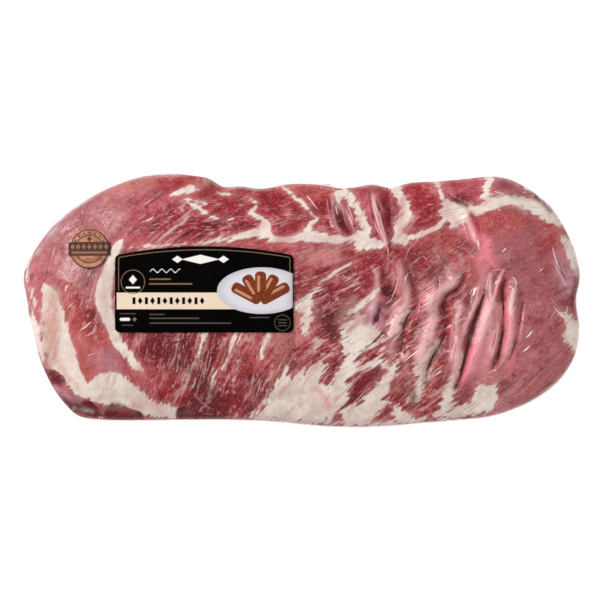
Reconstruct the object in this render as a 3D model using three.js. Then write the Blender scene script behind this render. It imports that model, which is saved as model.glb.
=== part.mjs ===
// A rack of pork spareribs sealed in clear shrink film, lying bone side down, with a label and a round
// seal on the film.
//
// Frame: millimetres, +Z up. X runs along the rack, Y across it, and the origin is on the
// ground under the middle of the pack.
import * as THREE from "three";

// Driving dimensions.
const LENGTH = 440; // of the whole pack
const WIDTH = 201;
const THICKNESS = 35; // over the middle of the rack
const EDGE_SHARE = 0.5; // share of the thickness that is left where the side begins
const SHOULDER = 60; // the top slopes down over this distance from the edge
const SHOULDER_ROUNDING = 2.3; // 1 is a straight slope, and more is rounder
const SIDE_REACH = 12; // how far the rounded side stands out from the faces
const SIDE_FROM = 64; // the side's arc, in degrees over and under the horizontal
const SIDE_TO = -72;
const LABEL_WIDTH = 139.5;
const LABEL_HEIGHT = 67.5; // to the crown of its arched top edge
const LABEL_ARCH = 6.5; // rise of that edge above its ends
const LABEL_CORNER = 4; // corner radius
const LABEL_CENTRE = [-76, 8.7]; // middle of the label's width, and of its height
const SEAL_RADIUS = 15.5;
const SEAL_CENTRE = [-166, 40.4];
const BANNER_WIDTH = 33; // the plain banner across the seal, a little wider than its disc
const BANNER_HEIGHT = 11;
const STICKER_THICKNESS = 0.6;
const STICKER_GAP = 0.35; // between a sticker and the film under it
const RIB_COUNT = 12; // bones that show through the film on the underside, across the rack
const RIB_FLAT = 0.43; // share of a rib's pitch that is its flat crest, on the ground
const RIB_RELIEF = 4; // depth of the hollows between ribs
const FOOT_MARGIN = 34; // the bone side lifts off the ground within this distance of the edge
const FOOT_LIFT = 5;
const FOLD_MARGIN = 22; // folds grow to their full height over this distance from the edge
const FOLD_RUN_OUT = 0.16; // share of a fold's line over which it runs out at either end
const RIPPLE = 0.5; // height of the meat's slight unevenness
const LEAN = 0.34; // how much the ribs, and the mesh with them, lean towards +X at the upper edge

// Mesh density.
const ROWS = 38;
const COLUMN_BANDS = [ // columns of the meat side up to a share of the length: closest where the folds are
  { columns: 35, upTo: 0.6 },
  { columns: 43, upTo: 0.9 },
  { columns: 8, upTo: 1 },
];
const COLUMNS_PER_RIB = 7;
const UNDERSIDE_ROWS = 12;
const SIDE_STEPS = 6;
const FOLD_STEPS = 24;
const LABEL_GRID = [26, 12]; // columns and rows
const LABEL_EDGE_POINTS = 120;
const SEAL_GRID = [8, 8];
const SEAL_EDGE_POINTS = 64;

// Plan outline, counter-clockwise from the lower left corner. LENGTH and WIDTH set its exact size.
const OUTLINE = [
  [-188, -80], [-176, -90.5], [-155, -93.5], [-96, -93.5], [-48, -93.5], [-13, -95.5], [20, -98.5],
  [52, -99], [84, -97], [117, -94], [147, -91], [166, -85.5], [187, -75.5], [202, -63.5], [213, -49],
  [218.5, -34], [219.5, -19], [217.5, -5], [217.2, 3], [220, 20], [216.5, 38], [209, 56], [198.5, 73],
  [187, 83.5], [175, 91.5], [163, 97], [149, 99], [128, 97], [105, 95], [86, 94], [70, 90.2], [56, 92.5],
  [34, 89.5], [14, 92.5], [-10, 93], [-31, 89.3], [-48, 91.2], [-62, 91], [-72, 97], [-88, 100],
  [-110, 100.5], [-131, 97.4], [-155, 88.5], [-178, 75.4], [-197, 59.5], [-213, 37.5], [-220, 20],
  [-217.5, 2], [-213, -21], [-208, -43], [-199, -64],
];
// Shares of the outline's length at which the four corners of the surface grid lie.
const GRID_CORNERS = [0.008, 0.352, 0.512, 0.852];

// Folds drawn up by the film. Each has the plan points of its line, how far it reaches to either side,
// and its height (a negative height is a groove).
const FOLDS = [
  // the long folds towards +X, from the middle of the rack outwards
  { reach: 7, height: 1.6, line: [[59, 31], [59, 12], [58, -4], [54, -18]] },
  { reach: 9, height: 2.2,
    line: [[73, 38], [78, 20], [82, 6], [81, -5], [75, -15], [71, -28], [69, -41]] },
  { reach: 5, height: -3.4,
    line: [[80, 38], [84, 24], [88, 11], [91, -3], [84, -11], [80, -22], [79, -35], [75, -50]] },
  { reach: 12, height: 3.4,
    line: [[127, 32], [122, 18], [112, 8], [103, -3], [102, -16], [98, -31], [91, -46], [87, -60]] },
  { reach: 5, height: -4.2,
    line: [[130, 35], [128, 22], [123, 10], [113, 3], [111, -6], [113, -19], [111, -29], [105, -41],
      [99, -52], [97, -68], [92, -84]] },
  { reach: 8, height: 2.2, line: [[131, 4], [123, -10], [120, -25], [119, -40], [114, -56]] },
  { reach: 6, height: 2.6,
    line: [[143, 16], [138, 3], [134, -8], [129, -21], [125, -34], [121, -50], [115, -66]] },
  { reach: 5, height: -5,
    line: [[146, 21], [142.5, 4], [136.5, -13], [131.5, -29], [128.5, -42], [124, -60], [117, -80]] },
  { reach: 8.5, height: 3.8,
    line: [[150, 17], [147.5, -6], [142.5, -21], [138.5, -36], [133, -52], [126, -69]] },
  { reach: 6, height: 2.2, line: [[156, 6], [155, -12], [153, -27], [150, -41], [146, -54]] },
  { reach: 4.5, height: -4.2,
    line: [[163, 24], [157.5, 11], [158, -3], [158, -17], [156.5, -31], [153, -45], [147, -61]] },
  { reach: 7.5, height: 3.4,
    line: [[166, 17], [165, 0], [163.5, -16], [162.5, -29], [160, -40], [156, -50]] },
  { reach: 4.5, height: -1.4, line: [[174, 8], [172, -9], [169.5, -24], [165, -40], [159, -54]] },
  // short folds along the upper edge
  { reach: 4.5, height: 1.6, line: [[24, 92], [25, 70], [28, 57], [35, 50]] },
  { reach: 4.5, height: -2.6, line: [[30, 80], [32, 67], [36, 57], [42, 52]] },
  { reach: 5, height: 3.2, line: [[55, 90], [58, 70], [61, 58], [66, 44], [63, 34]] },
  { reach: 4.5, height: -2.6, line: [[61, 92], [67, 78], [70, 67], [68, 55]] },
  { reach: 4.5, height: -2, line: [[112, 87], [118, 81], [129, 75]] },
  { reach: 4.5, height: -2.4, line: [[120, 43], [129, 41], [136, 35]] },
  { reach: 7, height: 2, line: [[129, 70], [134, 54], [139, 41]] },
  // creases beside the nick in the +X end
  { reach: 5, height: 1.6, line: [[197, 35], [203, 21], [210, 8], [213, 0]] },
  { reach: 5, height: -2.4, line: [[220, 0], [206, -2]] },
];

// Broad swells of the muscle: plan centre, reach along X and Y, and height.
const SWELLS = [
  { centre: [-95, 4], reach: [92, 52], height: 2 },
  { centre: [166, 44], reach: [34, 28], height: 3.5 },
  { centre: [180, -38], reach: [26, 34], height: 2.5 },
  { centre: [-178, -20], reach: [26, 60], height: 2 },
  { centre: [-20, 70], reach: [52, 22], height: 2.5 },
  { centre: [38, -52], reach: [58, 34], height: -2.5 },
  { centre: [96, 72], reach: [26, 18], height: 2 },
];

/** The outline as one closed curve, fitted exactly to LENGTH and WIDTH about the origin. */
function planOutline() {
  const curve = new THREE.CatmullRomCurve3(OUTLINE.map(([x, y]) => new THREE.Vector3(x, y, 0)), true);
  const box = new THREE.Box3().setFromPoints(curve.getPoints(1200));
  const size = box.getSize(new THREE.Vector3());
  const middle = box.getCenter(new THREE.Vector3());
  for (const point of curve.points) {
    point.sub(middle);
    point.x *= LENGTH / size.x;
    point.y *= WIDTH / size.y;
  }
  curve.arcLengthDivisions = 1200;
  curve.updateArcLengths();
  return curve;
}

const outline = planOutline();
const edgePoints = outline.getSpacedPoints(400);

/** Distance from a plan point to the outline. */
function edgeDistance(x, y) {
  let nearest = Infinity;
  for (let i = 1; i < edgePoints.length; i++) {
    nearest = Math.min(nearest, segmentDistance(x, y, edgePoints[i - 1], edgePoints[i]).distance);
  }
  return nearest;
}

/** Distance from a plan point to a segment, and how far along the segment the nearest point is, 0 to 1. */
function segmentDistance(x, y, a, b) {
  const dx = b.x - a.x;
  const dy = b.y - a.y;
  const along = THREE.MathUtils.clamp(((x - a.x) * dx + (y - a.y) * dy) / (dx * dx + dy * dy), 0, 1);
  return { distance: Math.hypot(x - a.x - along * dx, y - a.y - along * dy), along };
}

// Each fold's line, sampled from a curve through its points.
const folds = FOLDS.map(({ line, reach, height }) => {
  const curve = new THREE.CatmullRomCurve3(line.map(([x, y]) => new THREE.Vector3(x, y, 0)));
  return { points: curve.getSpacedPoints(FOLD_STEPS), reach, height };
});

/** Height that one fold adds at a plan point: a rounded section that runs out at both ends of the line. */
function foldHeight({ points, reach, height }, x, y) {
  let nearest = reach;
  let share = 0;
  for (let i = 1; i < points.length; i++) {
    const { distance, along } = segmentDistance(x, y, points[i - 1], points[i]);
    if (distance < nearest) {
      nearest = distance;
      share = (i - 1 + along) / FOLD_STEPS;
    }
  }
  if (nearest >= reach) return 0;
  const section = 0.5 + 0.5 * Math.cos((Math.PI * nearest) / reach);
  const runOut = THREE.MathUtils.smoothstep(Math.min(share, 1 - share), 0, FOLD_RUN_OUT);
  return height * section * runOut;
}

/** Height that one swell adds at a plan point. */
function swellHeight({ centre, reach, height }, x, y) {
  const distance = Math.hypot((x - centre[0]) / reach[0], (y - centre[1]) / reach[1]);
  return height * Math.exp(-distance * distance);
}

/** Height of the meat side over the ground at a plan point. */
function topHeight(x, y) {
  const distance = edgeDistance(x, y);
  const slope = 1 - Math.pow(1 - Math.min(distance / SHOULDER, 1), SHOULDER_ROUNDING);
  const swells = SWELLS.reduce((sum, swell) => sum + swellHeight(swell, x, y), 0);
  const ripple = RIPPLE * Math.sin(x / 9 + y / 17) * Math.cos(y / 11 - x / 23);
  const drawn = folds.reduce((sum, fold) => sum + foldHeight(fold, x, y), 0);
  const settled = THREE.MathUtils.smoothstep(distance, 4, FOLD_MARGIN);
  return THICKNESS * (EDGE_SHARE + (1 - EDGE_SHARE) * slope) + swells * slope + ripple + drawn * settled;
}

/**
 * Height of the bone side at a plan point: flat on the ribs' crests, hollow between them, and lifted
 * near the edge. The ribs follow the mesh, so their place is a share of its columns.
 */
function undersideHeight(x, y, columnShare) {
  const distance = edgeDistance(x, y);
  const pitchShare = THREE.MathUtils.euclideanModulo(columnShare * RIB_COUNT, 1);
  const hollow = THREE.MathUtils.smoothstep(Math.abs(pitchShare - 0.5), RIB_FLAT / 2, 0.5);
  const lift = 1 - THREE.MathUtils.smoothstep(distance, 0, FOOT_MARGIN);
  const settled = THREE.MathUtils.smoothstep(distance, SIDE_REACH, FOOT_MARGIN);
  return RIB_RELIEF * hollow * settled + FOOT_LIFT * lift;
}

/** A point of a closed curve at a share of its length, moved inwards by an inset. */
function insetPoint(curve, share, inset) {
  const u = THREE.MathUtils.euclideanModulo(share, 1);
  const point = curve.getPointAt(u);
  const tangent = curve.getTangentAt(u);
  return new THREE.Vector2(point.x - tangent.y * inset, point.y + tangent.x * inset);
}

/** Shares of the length at which the meat side's columns stand. */
function bandedShares() {
  const shares = [0];
  for (const { columns, upTo } of COLUMN_BANDS) {
    const from = shares.at(-1);
    for (let k = 1; k <= columns; k++) shares.push(from + ((upTo - from) * k) / columns);
  }
  return shares;
}

/** Shares that divide a length evenly. */
const evenShares = (count) => Array.from({ length: count + 1 }, (_, k) => k / count);

/**
 * A grid of plan points that fills a closed counter-clockwise curve: its four sides follow the
 * curve between the corners, and the inside blends between the sides.
 */
function planGrid(curve, corners, shares, rows, { inset = 0, lean = 0 } = {}) {
  const [lowerLeft, lowerRight, upperRight, upperLeft] = corners;
  const at = (from, to, share) => insetPoint(curve, from + (to - from) * share, inset);
  const ends = [at(lowerLeft, lowerRight, 0), at(lowerLeft, lowerRight, 1), at(upperLeft, upperRight, 0),
    at(upperLeft, upperRight, 1)];
  const points = [];
  for (let j = 0; j <= rows; j++) {
    const t = j / rows;
    const left = at(lowerLeft + 1, upperLeft, t);
    const right = at(lowerRight, upperRight, t);
    for (const share of shares) {
      const shift = lean * share * (1 - share);
      const s = share + shift * (2 * t - 1);
      const point = at(lowerLeft, lowerRight, share - shift).multiplyScalar(1 - t);
      point.addScaledVector(at(upperLeft, upperRight, share + shift), t);
      point.addScaledVector(left, 1 - s).addScaledVector(right, s);
      point.addScaledVector(ends[0], -(1 - s) * (1 - t)).addScaledVector(ends[1], -s * (1 - t));
      point.addScaledVector(ends[2], -(1 - s) * t).addScaledVector(ends[3], -s * t);
      points.push(point);
    }
  }
  return points;
}

/** Index of a grid point. */
const gridIndex = (columns, i, j) => j * (columns + 1) + i;

/** The grid's border as indices, counter-clockwise from the lower left, with how far round each one is. */
function gridBorder(shares, rows) {
  const columns = shares.length - 1;
  const border = [];
  for (let i = 0; i < columns; i++) border.push({ index: gridIndex(columns, i, 0), round: shares[i] });
  for (let j = 0; j < rows; j++) border.push({ index: gridIndex(columns, columns, j), round: 1 + j / rows });
  for (let i = columns; i > 0; i--) {
    border.push({ index: gridIndex(columns, i, rows), round: 3 - shares[i] });
  }
  for (let j = rows; j > 0; j--) border.push({ index: gridIndex(columns, 0, j), round: 4 - j / rows });
  return border;
}

/** Triangles of a grid that faces up, each cell split along its shorter diagonal. */
function gridTriangles(points, columns, rows) {
  const triangles = [];
  for (let j = 0; j < rows; j++) {
    for (let i = 0; i < columns; i++) {
      const a = gridIndex(columns, i, j);
      const b = gridIndex(columns, i + 1, j);
      const c = gridIndex(columns, i + 1, j + 1);
      const d = gridIndex(columns, i, j + 1);
      const shorter = points[a].distanceTo(points[c]) <= points[b].distanceTo(points[d]);
      triangles.push(...(shorter ? [[a, b, c], [a, c, d]] : [[a, b, d], [b, c, d]]));
    }
  }
  return triangles;
}

/** Triangles that join an upper border to a lower one, whatever their counts, facing outwards. */
function joinBorders(upper, lower) {
  const triangles = [];
  const round = (border, k) => (k < border.length ? border[k].round : 4 + border[k - border.length].round);
  const index = (border, k) => border[k % border.length].index;
  let u = 0;
  let l = 0;
  while (u < upper.length || l < lower.length) {
    const upperNext = u < upper.length && (l >= lower.length || round(upper, u + 1) <= round(lower, l + 1));
    if (upperNext) {
      triangles.push([index(upper, u), index(lower, l), index(upper, u + 1)]);
      u++;
    } else {
      triangles.push([index(upper, u), index(lower, l), index(lower, l + 1)]);
      l++;
    }
  }
  return triangles;
}

/** A geometry from points and triangles. */
function geometryOf(points, triangles) {
  const geometry = new THREE.BufferGeometry();
  const coordinates = points.flatMap((p) => [p.x, p.y, p.z]);
  geometry.setAttribute("position", new THREE.Float32BufferAttribute(coordinates, 3));
  geometry.setIndex(triangles.flat());
  geometry.computeVertexNormals();
  return geometry;
}

/** The rack in its film: the folded meat side, a rounded side all round, and the ribbed bone side. */
function rackGeometry() {
  const shares = bandedShares();
  const columns = shares.length - 1;
  const options = { inset: SIDE_REACH, lean: LEAN };
  const top = planGrid(outline, GRID_CORNERS, shares, ROWS, options);
  const points = top.map((p) => new THREE.Vector3(p.x, p.y, topHeight(p.x, p.y)));
  const triangles = gridTriangles(points, columns, ROWS);

  const border = gridBorder(shares, ROWS);
  let above = border;
  for (let k = 1; k < SIDE_STEPS; k++) {
    const angle = THREE.MathUtils.lerp(SIDE_FROM, SIDE_TO, k / SIDE_STEPS);
    const ring = border.map(({ index, round }) => {
      points.push(sidePoint(points[index], angle));
      return { index: points.length - 1, round };
    });
    triangles.push(...joinBorders(above, ring));
    above = ring;
  }

  const first = points.length;
  const undersideShares = evenShares(RIB_COUNT * COLUMNS_PER_RIB);
  const underside = planGrid(outline, GRID_CORNERS, undersideShares, UNDERSIDE_ROWS, options);
  underside.forEach((p, k) => {
    const columnShare = undersideShares[k % undersideShares.length];
    points.push(new THREE.Vector3(p.x, p.y, undersideHeight(p.x, p.y, columnShare)));
  });
  for (const [a, b, c] of gridTriangles(points.slice(first), undersideShares.length - 1, UNDERSIDE_ROWS)) {
    triangles.push([a + first, c + first, b + first]);
  }
  const foot = gridBorder(undersideShares, UNDERSIDE_ROWS);
  triangles.push(...joinBorders(above, foot.map(({ index, round }) => ({ index: index + first, round }))));
  return geometryOf(points, triangles);
}

/** The side's point at an angle over the horizontal, straight out from a point of the top's border. */
function sidePoint(inner, angle) {
  const sine = (degrees) => Math.sin(THREE.MathUtils.degToRad(degrees));
  const cosine = (degrees) => Math.cos(THREE.MathUtils.degToRad(degrees));
  const end = cosine(angle >= 0 ? SIDE_FROM : SIDE_TO);
  const reach = (SIDE_REACH * (cosine(angle) - end)) / (1 - end);
  const rise = (sine(angle) - sine(SIDE_TO)) / (sine(SIDE_FROM) - sine(SIDE_TO));
  const low = undersideHeight(inner.x, inner.y, 0);
  const outward = outwardAt(inner);
  return new THREE.Vector3(
    inner.x + outward.x * reach,
    inner.y + outward.y * reach,
    low + (inner.z - low) * rise,
  );
}

/** Unit plan vector from a point inside the outline to the outline's nearest point. */
function outwardAt(point) {
  let nearest = edgePoints[0];
  let best = Infinity;
  for (const edge of edgePoints) {
    const distance = Math.hypot(edge.x - point.x, edge.y - point.y);
    if (distance < best) {
      best = distance;
      nearest = edge;
    }
  }
  return new THREE.Vector2(nearest.x - point.x, nearest.y - point.y).normalize();
}

/** A thin sticker that lies on the meat side, filling a closed plan curve. */
function stickerGeometry(curve, corners, columns, rows) {
  const shares = evenShares(columns);
  const grid = planGrid(curve, corners, shares, rows);
  const lower = grid.map((p) => new THREE.Vector3(p.x, p.y, topHeight(p.x, p.y) + STICKER_GAP));
  const upper = lower.map((p) => new THREE.Vector3(p.x, p.y, p.z + STICKER_THICKNESS));
  const count = upper.length;
  const triangles = gridTriangles(upper, columns, rows);
  const underneath = triangles.map(([a, b, c]) => [a + count, c + count, b + count]);
  const border = gridBorder(shares, rows);
  const lowerBorder = border.map(({ index, round }) => ({ index: index + count, round }));
  return geometryOf([...upper, ...lower], [...triangles, ...underneath, ...joinBorders(border, lowerBorder)]);
}

/** A closed curve through the points of a plan shape, starting where the shape starts. */
function closedCurve(points, centre) {
  const placed = points.map((p) => new THREE.Vector3(p.x + centre[0], p.y + centre[1], 0));
  const curve = new THREE.CurvePath();
  placed.forEach((p, i) => curve.add(new THREE.LineCurve3(p, placed[(i + 1) % placed.length])));
  return curve;
}

/** The label's outline: a rectangle with round corners and an arched top edge. */
function labelOutline() {
  const r = LABEL_CORNER;
  const across = LABEL_WIDTH / 2 - r; // centres of the round corners
  const low = -LABEL_HEIGHT / 2 + r;
  const high = LABEL_HEIGHT / 2 - LABEL_ARCH - r;
  const slope = Math.atan((2 * LABEL_ARCH) / across); // of the arched edge where it meets a corner
  const shape = new THREE.Shape();
  shape.absarc(-across, low, r, Math.PI, 1.5 * Math.PI);
  shape.absarc(across, low, r, 1.5 * Math.PI, 2 * Math.PI);
  shape.absarc(across, high, r, 0, 0.5 * Math.PI - slope);
  shape.quadraticCurveTo(
    0, high + r + 2 * LABEL_ARCH,
    -across - r * Math.sin(slope), high + r * Math.cos(slope),
  );
  shape.absarc(-across, high, r, 0.5 * Math.PI + slope, Math.PI);
  return shape.getSpacedPoints(LABEL_EDGE_POINTS).slice(0, -1);
}

/** The seal's outline: a disc with the ends of its banner standing out on both sides. */
function sealOutline() {
  return Array.from({ length: SEAL_EDGE_POINTS }, (_, k) => {
    const angle = -0.75 * Math.PI + (2 * Math.PI * k) / SEAL_EDGE_POINTS;
    const banner = BANNER_WIDTH / 2 / Math.abs(Math.cos(angle));
    const onBanner = Math.abs(Math.tan(angle)) < BANNER_HEIGHT / BANNER_WIDTH;
    const radius = onBanner ? banner : SEAL_RADIUS;
    return new THREE.Vector2(radius * Math.cos(angle), radius * Math.sin(angle));
  });
}

const filmedMeat = new THREE.MeshStandardMaterial({ color: 0xa9575c, roughness: 0.28, metalness: 0 });
const blackPrint = new THREE.MeshStandardMaterial({ color: 0x0d0c0c, roughness: 0.35, metalness: 0 });
const copperPrint = new THREE.MeshStandardMaterial({ color: 0xb7804f, roughness: 0.4, metalness: 0 });

const rack = new THREE.Mesh(rackGeometry(), filmedMeat);
rack.name = "sealed_rib_rack";

// The label's grid corners are the middles of its four round corners, as shares of its outline's length.
const labelRound = 2 * (LABEL_WIDTH + LABEL_HEIGHT);
const cornerShare = (LABEL_CORNER * Math.PI) / 4 / labelRound;
const labelCorners = [
  cornerShare,
  cornerShare + LABEL_WIDTH / labelRound,
  cornerShare + (LABEL_WIDTH + LABEL_HEIGHT - LABEL_ARCH) / labelRound,
  cornerShare + (2 * LABEL_WIDTH + LABEL_HEIGHT - LABEL_ARCH) / labelRound,
];
const label = new THREE.Mesh(
  stickerGeometry(closedCurve(labelOutline(), LABEL_CENTRE), labelCorners, ...LABEL_GRID),
  blackPrint,
);
label.name = "front_label";

const seal = new THREE.Mesh(
  stickerGeometry(closedCurve(sealOutline(), SEAL_CENTRE), [0, 0.25, 0.5, 0.75], ...SEAL_GRID),
  copperPrint,
);
seal.name = "round_seal";

const pack = new THREE.Group();
pack.add(rack, label, seal);
export default pack;
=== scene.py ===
"""A rack of pork spareribs sealed in clear shrink film, with a paper label and a round seal on it.

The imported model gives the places. This script makes the fine meat and the film round it, which both
stand for the plain solid of the pack, and the printed label and seal. Plan sizes are in millimetres.
"""

import logging
import math
from dataclasses import dataclass, field
from enum import Enum
from typing import Any, Sequence, Union

import bpy
import numpy as np
from bpy.types import Material, NodeSocket, Object
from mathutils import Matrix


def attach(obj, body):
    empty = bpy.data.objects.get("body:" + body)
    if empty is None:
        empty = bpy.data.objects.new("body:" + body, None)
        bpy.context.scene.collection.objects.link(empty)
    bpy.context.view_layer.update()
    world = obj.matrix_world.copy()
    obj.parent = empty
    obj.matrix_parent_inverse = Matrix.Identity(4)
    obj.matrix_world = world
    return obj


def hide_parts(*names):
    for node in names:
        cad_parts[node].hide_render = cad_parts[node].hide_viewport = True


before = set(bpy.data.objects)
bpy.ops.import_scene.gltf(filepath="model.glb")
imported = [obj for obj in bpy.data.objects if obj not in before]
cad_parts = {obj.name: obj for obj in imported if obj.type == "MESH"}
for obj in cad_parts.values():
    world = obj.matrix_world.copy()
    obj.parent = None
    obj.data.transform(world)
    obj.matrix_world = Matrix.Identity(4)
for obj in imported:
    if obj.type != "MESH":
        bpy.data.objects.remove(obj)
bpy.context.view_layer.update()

MM = 0.001

Array = np.ndarray
Row = Sequence[float]
Plan = tuple[float, float]
Triple = tuple[float, float, float]
Colour = tuple[float, float, float, float]
Cells = tuple[int, int, int, int, int]
Faces = list[tuple[int, ...]]

log = logging.getLogger("rib_rack")


class Seed(Enum):
    """The seed of each random draw, so that every run gives the same pack."""

    FILM = 5
    MEAT = 11
    FAT_THREADS = 17
    VEIL = 23
    FILM_CREASES = 29
    STIR_X = 31
    STIR_Y = 32
    THREAD_PATCHES = 41
    CREASE_PATCHES = 43


class Tint(Enum):
    """The colours of the meat, the fat, the print and the painted highlights and shade, as red, green and
    blue from 0 to 255.
    """

    ROSE = (166, 98, 100)
    SALMON = (190, 120, 112)
    CERISE = (182, 78, 90)
    SCARLET = (164, 38, 42)
    CLAY = (178, 108, 98)
    GARNET = (154, 34, 42)
    MAUVE = (180, 102, 106)
    BRICK = (185, 81, 79)
    EMBER = (186, 88, 80)
    PLUM = (126, 26, 36)
    MAROON = (102, 26, 34)
    CRIMSON = (154, 32, 42)
    BLUSH = (213, 133, 132)
    LILAC = (198, 146, 158)
    BLOSSOM = (248, 190, 194)
    CORAL = (250, 146, 156)
    MAGENTA = (238, 134, 152)
    TALLOW = (226, 208, 198)
    SUET = (242, 232, 222)
    RIND = (204, 146, 136)
    GRISTLE = (88, 20, 28)
    INK = (4, 3, 3)
    GILT = (128, 104, 76)
    CREAM = (228, 212, 188)
    PORCELAIN = (216, 214, 220)
    PAPER = (236, 234, 230)
    PEWTER = (84, 78, 70)
    COPPER = (144, 94, 72)
    UMBER = (66, 42, 34)
    CHAR = (58, 36, 30)
    RUST = (156, 70, 34)
    TAN = (192, 136, 102)
    SINEW = (200, 170, 156)

    @property
    def linear(self) -> Colour:
        """The colour in linear light.

        Returns:
            Its red, green and blue, with an alpha of 1.
        """
        parts = [channel / 255 for channel in self.value]
        red, green, blue = (
            part / 12.92 if part <= 0.04045 else ((part + 0.055) / 1.055) ** 2.4 for part in parts
        )
        return red, green, blue, 1.0


# --- Plan geometry ---


PUCKER_RUN = (0.866, 0.5)  # plan direction of the film's fine puckers


def along_puckers(x: Any, y: Any) -> tuple[Any, Any]:
    """Coordinates along and across the film's fine puckers, of arrays or shader values."""
    return x * PUCKER_RUN[0] + y * PUCKER_RUN[1], y * PUCKER_RUN[0] - x * PUCKER_RUN[1]


def heading(degrees: float) -> Plan:
    """Cosine and sine of an angle."""
    return math.cos(math.radians(degrees)), math.sin(math.radians(degrees))


def between(first: Array, second: Array, share: Array) -> Array:
    """What lies at a share of the way from the first to the second."""
    return first * (1 - share) + second * share


def pairs(numbers: Row, unit: float = 1.0) -> tuple[Plan, ...]:
    """Numbers taken two by two as plan points, in the given unit."""
    return tuple((unit * x, unit * y) for x, y in zip(numbers[::2], numbers[1::2]))


def smoothstep(value: Array, low: float, high: float) -> Array:
    """A smooth step: 0 below low, 1 above high, and a smooth rise between."""
    share = np.clip((value - low) / (high - low), 0.0, 1.0)
    return share * share * (3.0 - 2.0 * share)


def around(plan: Array, points: Array, margin: float) -> Array:
    """Which plan points lie in the box of some points, widened by a margin."""
    return np.all((plan > points.min(0) - margin) & (plan < points.max(0) + margin), axis=1)


def run_lengths(points: Array) -> Array:
    """Length of a line of straight pieces up to each of its points."""
    return np.concatenate([[0], np.cumsum(np.linalg.norm(np.diff(points, axis=0), axis=1))])


def line_distance(plan: Array, line: Array) -> tuple[Array, Array]:
    """Distance from plan points to a line of straight pieces.

    Args:
        plan: Points, one a row.
        line: The line's points, one a row.

    Returns:
        Each point's distance, and the share of the line's pieces at its nearest place.
    """
    best = np.full(len(plan), np.inf)
    share = np.zeros(len(plan))
    pieces = len(line) - 1
    for k in range(pieces):
        step = line[k + 1] - line[k]
        offset = plan - line[k]
        along = np.clip(offset @ step / max(step @ step, 1e-9), 0.0, 1.0)
        away = offset - along[:, None] * step
        distance = np.hypot(away[:, 0], away[:, 1])
        nearer = distance < best
        best[nearer] = distance[nearer]
        share[nearer] = (k + along[nearer]) / pieces
    return best, share


def ring_depth(plan: Array, ring: Array) -> Array:
    """How deep plan points lie inside a closed ring.

    Args:
        plan: Points, one a row.
        ring: The ring's corners, one a row, the first not repeated.

    Returns:
        Distance to the ring, positive inside and negative outside.
    """
    closed = np.vstack([ring, ring[:1]])
    distance, _ = line_distance(plan, closed)
    inside = np.zeros(len(plan), bool)
    x, y = plan[:, 0], plan[:, 1]
    for (ax, ay), (bx, by) in zip(closed[:-1], closed[1:]):
        if ay == by:
            continue
        crosses = (ay > y) != (by > y)
        inside ^= crosses & (x < (bx - ax) * (y - ay) / (by - ay) + ax)
    return np.where(inside, distance, -distance)


class PlanCurve:
    """A smooth centripetal curve through plan points, measured along its own length."""

    STEPS = 40  # straight pieces between two points
    NUDGE = 1e-4  # share of the length to either side over which its direction is taken

    def __init__(self, knots: Array, closed: bool = False) -> None:
        """Samples the curve.

        Args:
            knots: The points that it passes through, one a row.
            closed: Whether it returns to its first point.
        """
        knots = np.asarray(knots, float)
        self.closed = closed
        before = knots[-1:] if closed else 2 * knots[:1] - knots[1:2]
        after = knots[:2] if closed else 2 * knots[-1:] - knots[-2:-1]
        padded = np.vstack([before, knots, after])
        p0, p1, p2, p3 = (padded[k : len(padded) - 3 + k] for k in range(4))
        gaps = (b - a for a, b in ((p0, p1), (p1, p2), (p2, p3)))
        d0, d1, d2 = (np.sqrt(np.linalg.norm(gap, axis=1))[:, None] for gap in gaps)
        start = ((p1 - p0) / d0 - (p2 - p0) / (d0 + d1) + (p2 - p1) / d1) * d1
        end = ((p2 - p1) / d1 - (p3 - p1) / (d1 + d2) + (p3 - p2) / d2) * d1
        t = np.linspace(0, 1, self.STEPS, endpoint=False)[None, :, None]
        square = -3 * p1 + 3 * p2 - 2 * start - end
        cube = 2 * p1 - 2 * p2 + start + end
        pieces = p1[:, None] + start[:, None] * t + square[:, None] * t**2 + cube[:, None] * t**3
        last = knots[:1] if closed else knots[-1:]
        self._measure(np.vstack([pieces.reshape(-1, 2), last]))

    def _measure(self, samples: Array) -> None:
        """Keeps samples along the curve, with each one's share of the length."""
        lengths = run_lengths(samples)
        self.samples, self.shares = samples, lengths / lengths[-1]

    def fitted(self, length: float, width: float) -> "PlanCurve":
        """Centres the curve on the origin and stretches its box to a size.

        Args:
            length: Size along X.
            width: Size along Y.

        Returns:
            The same curve, changed.
        """
        low, high = self.samples.min(0), self.samples.max(0)
        self._measure((self.samples - (low + high) / 2) * np.array([length, width]) / (high - low))
        return self

    def at(self, shares: Array) -> Array:
        """Points at shares of the length, one a row."""
        wrapped = np.mod(shares, 1.0) if self.closed else np.clip(shares, 0, 1)
        return np.stack([np.interp(wrapped, self.shares, self.samples[:, k]) for k in (0, 1)], axis=-1)

    def spaced(self, pieces: int) -> Array:
        """Evenly spaced points from end to end, one a row."""
        inner = self.at(np.arange(pieces) / pieces)
        return np.vstack([inner, self.samples[-1:]])

    def inset(self, shares: Array, depth: float) -> Array:
        """Points at shares of the length, moved to the left of the curve's run.

        Args:
            shares: Where along the curve.
            depth: How far to the left.

        Returns:
            The points, one a row.
        """
        tangent = self.at(shares + self.NUDGE) - self.at(shares - self.NUDGE)
        tangent /= np.linalg.norm(tangent, axis=-1, keepdims=True)
        left = np.stack([-tangent[..., 1], tangent[..., 0]], axis=-1)
        return self.at(shares) + left * depth


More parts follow.
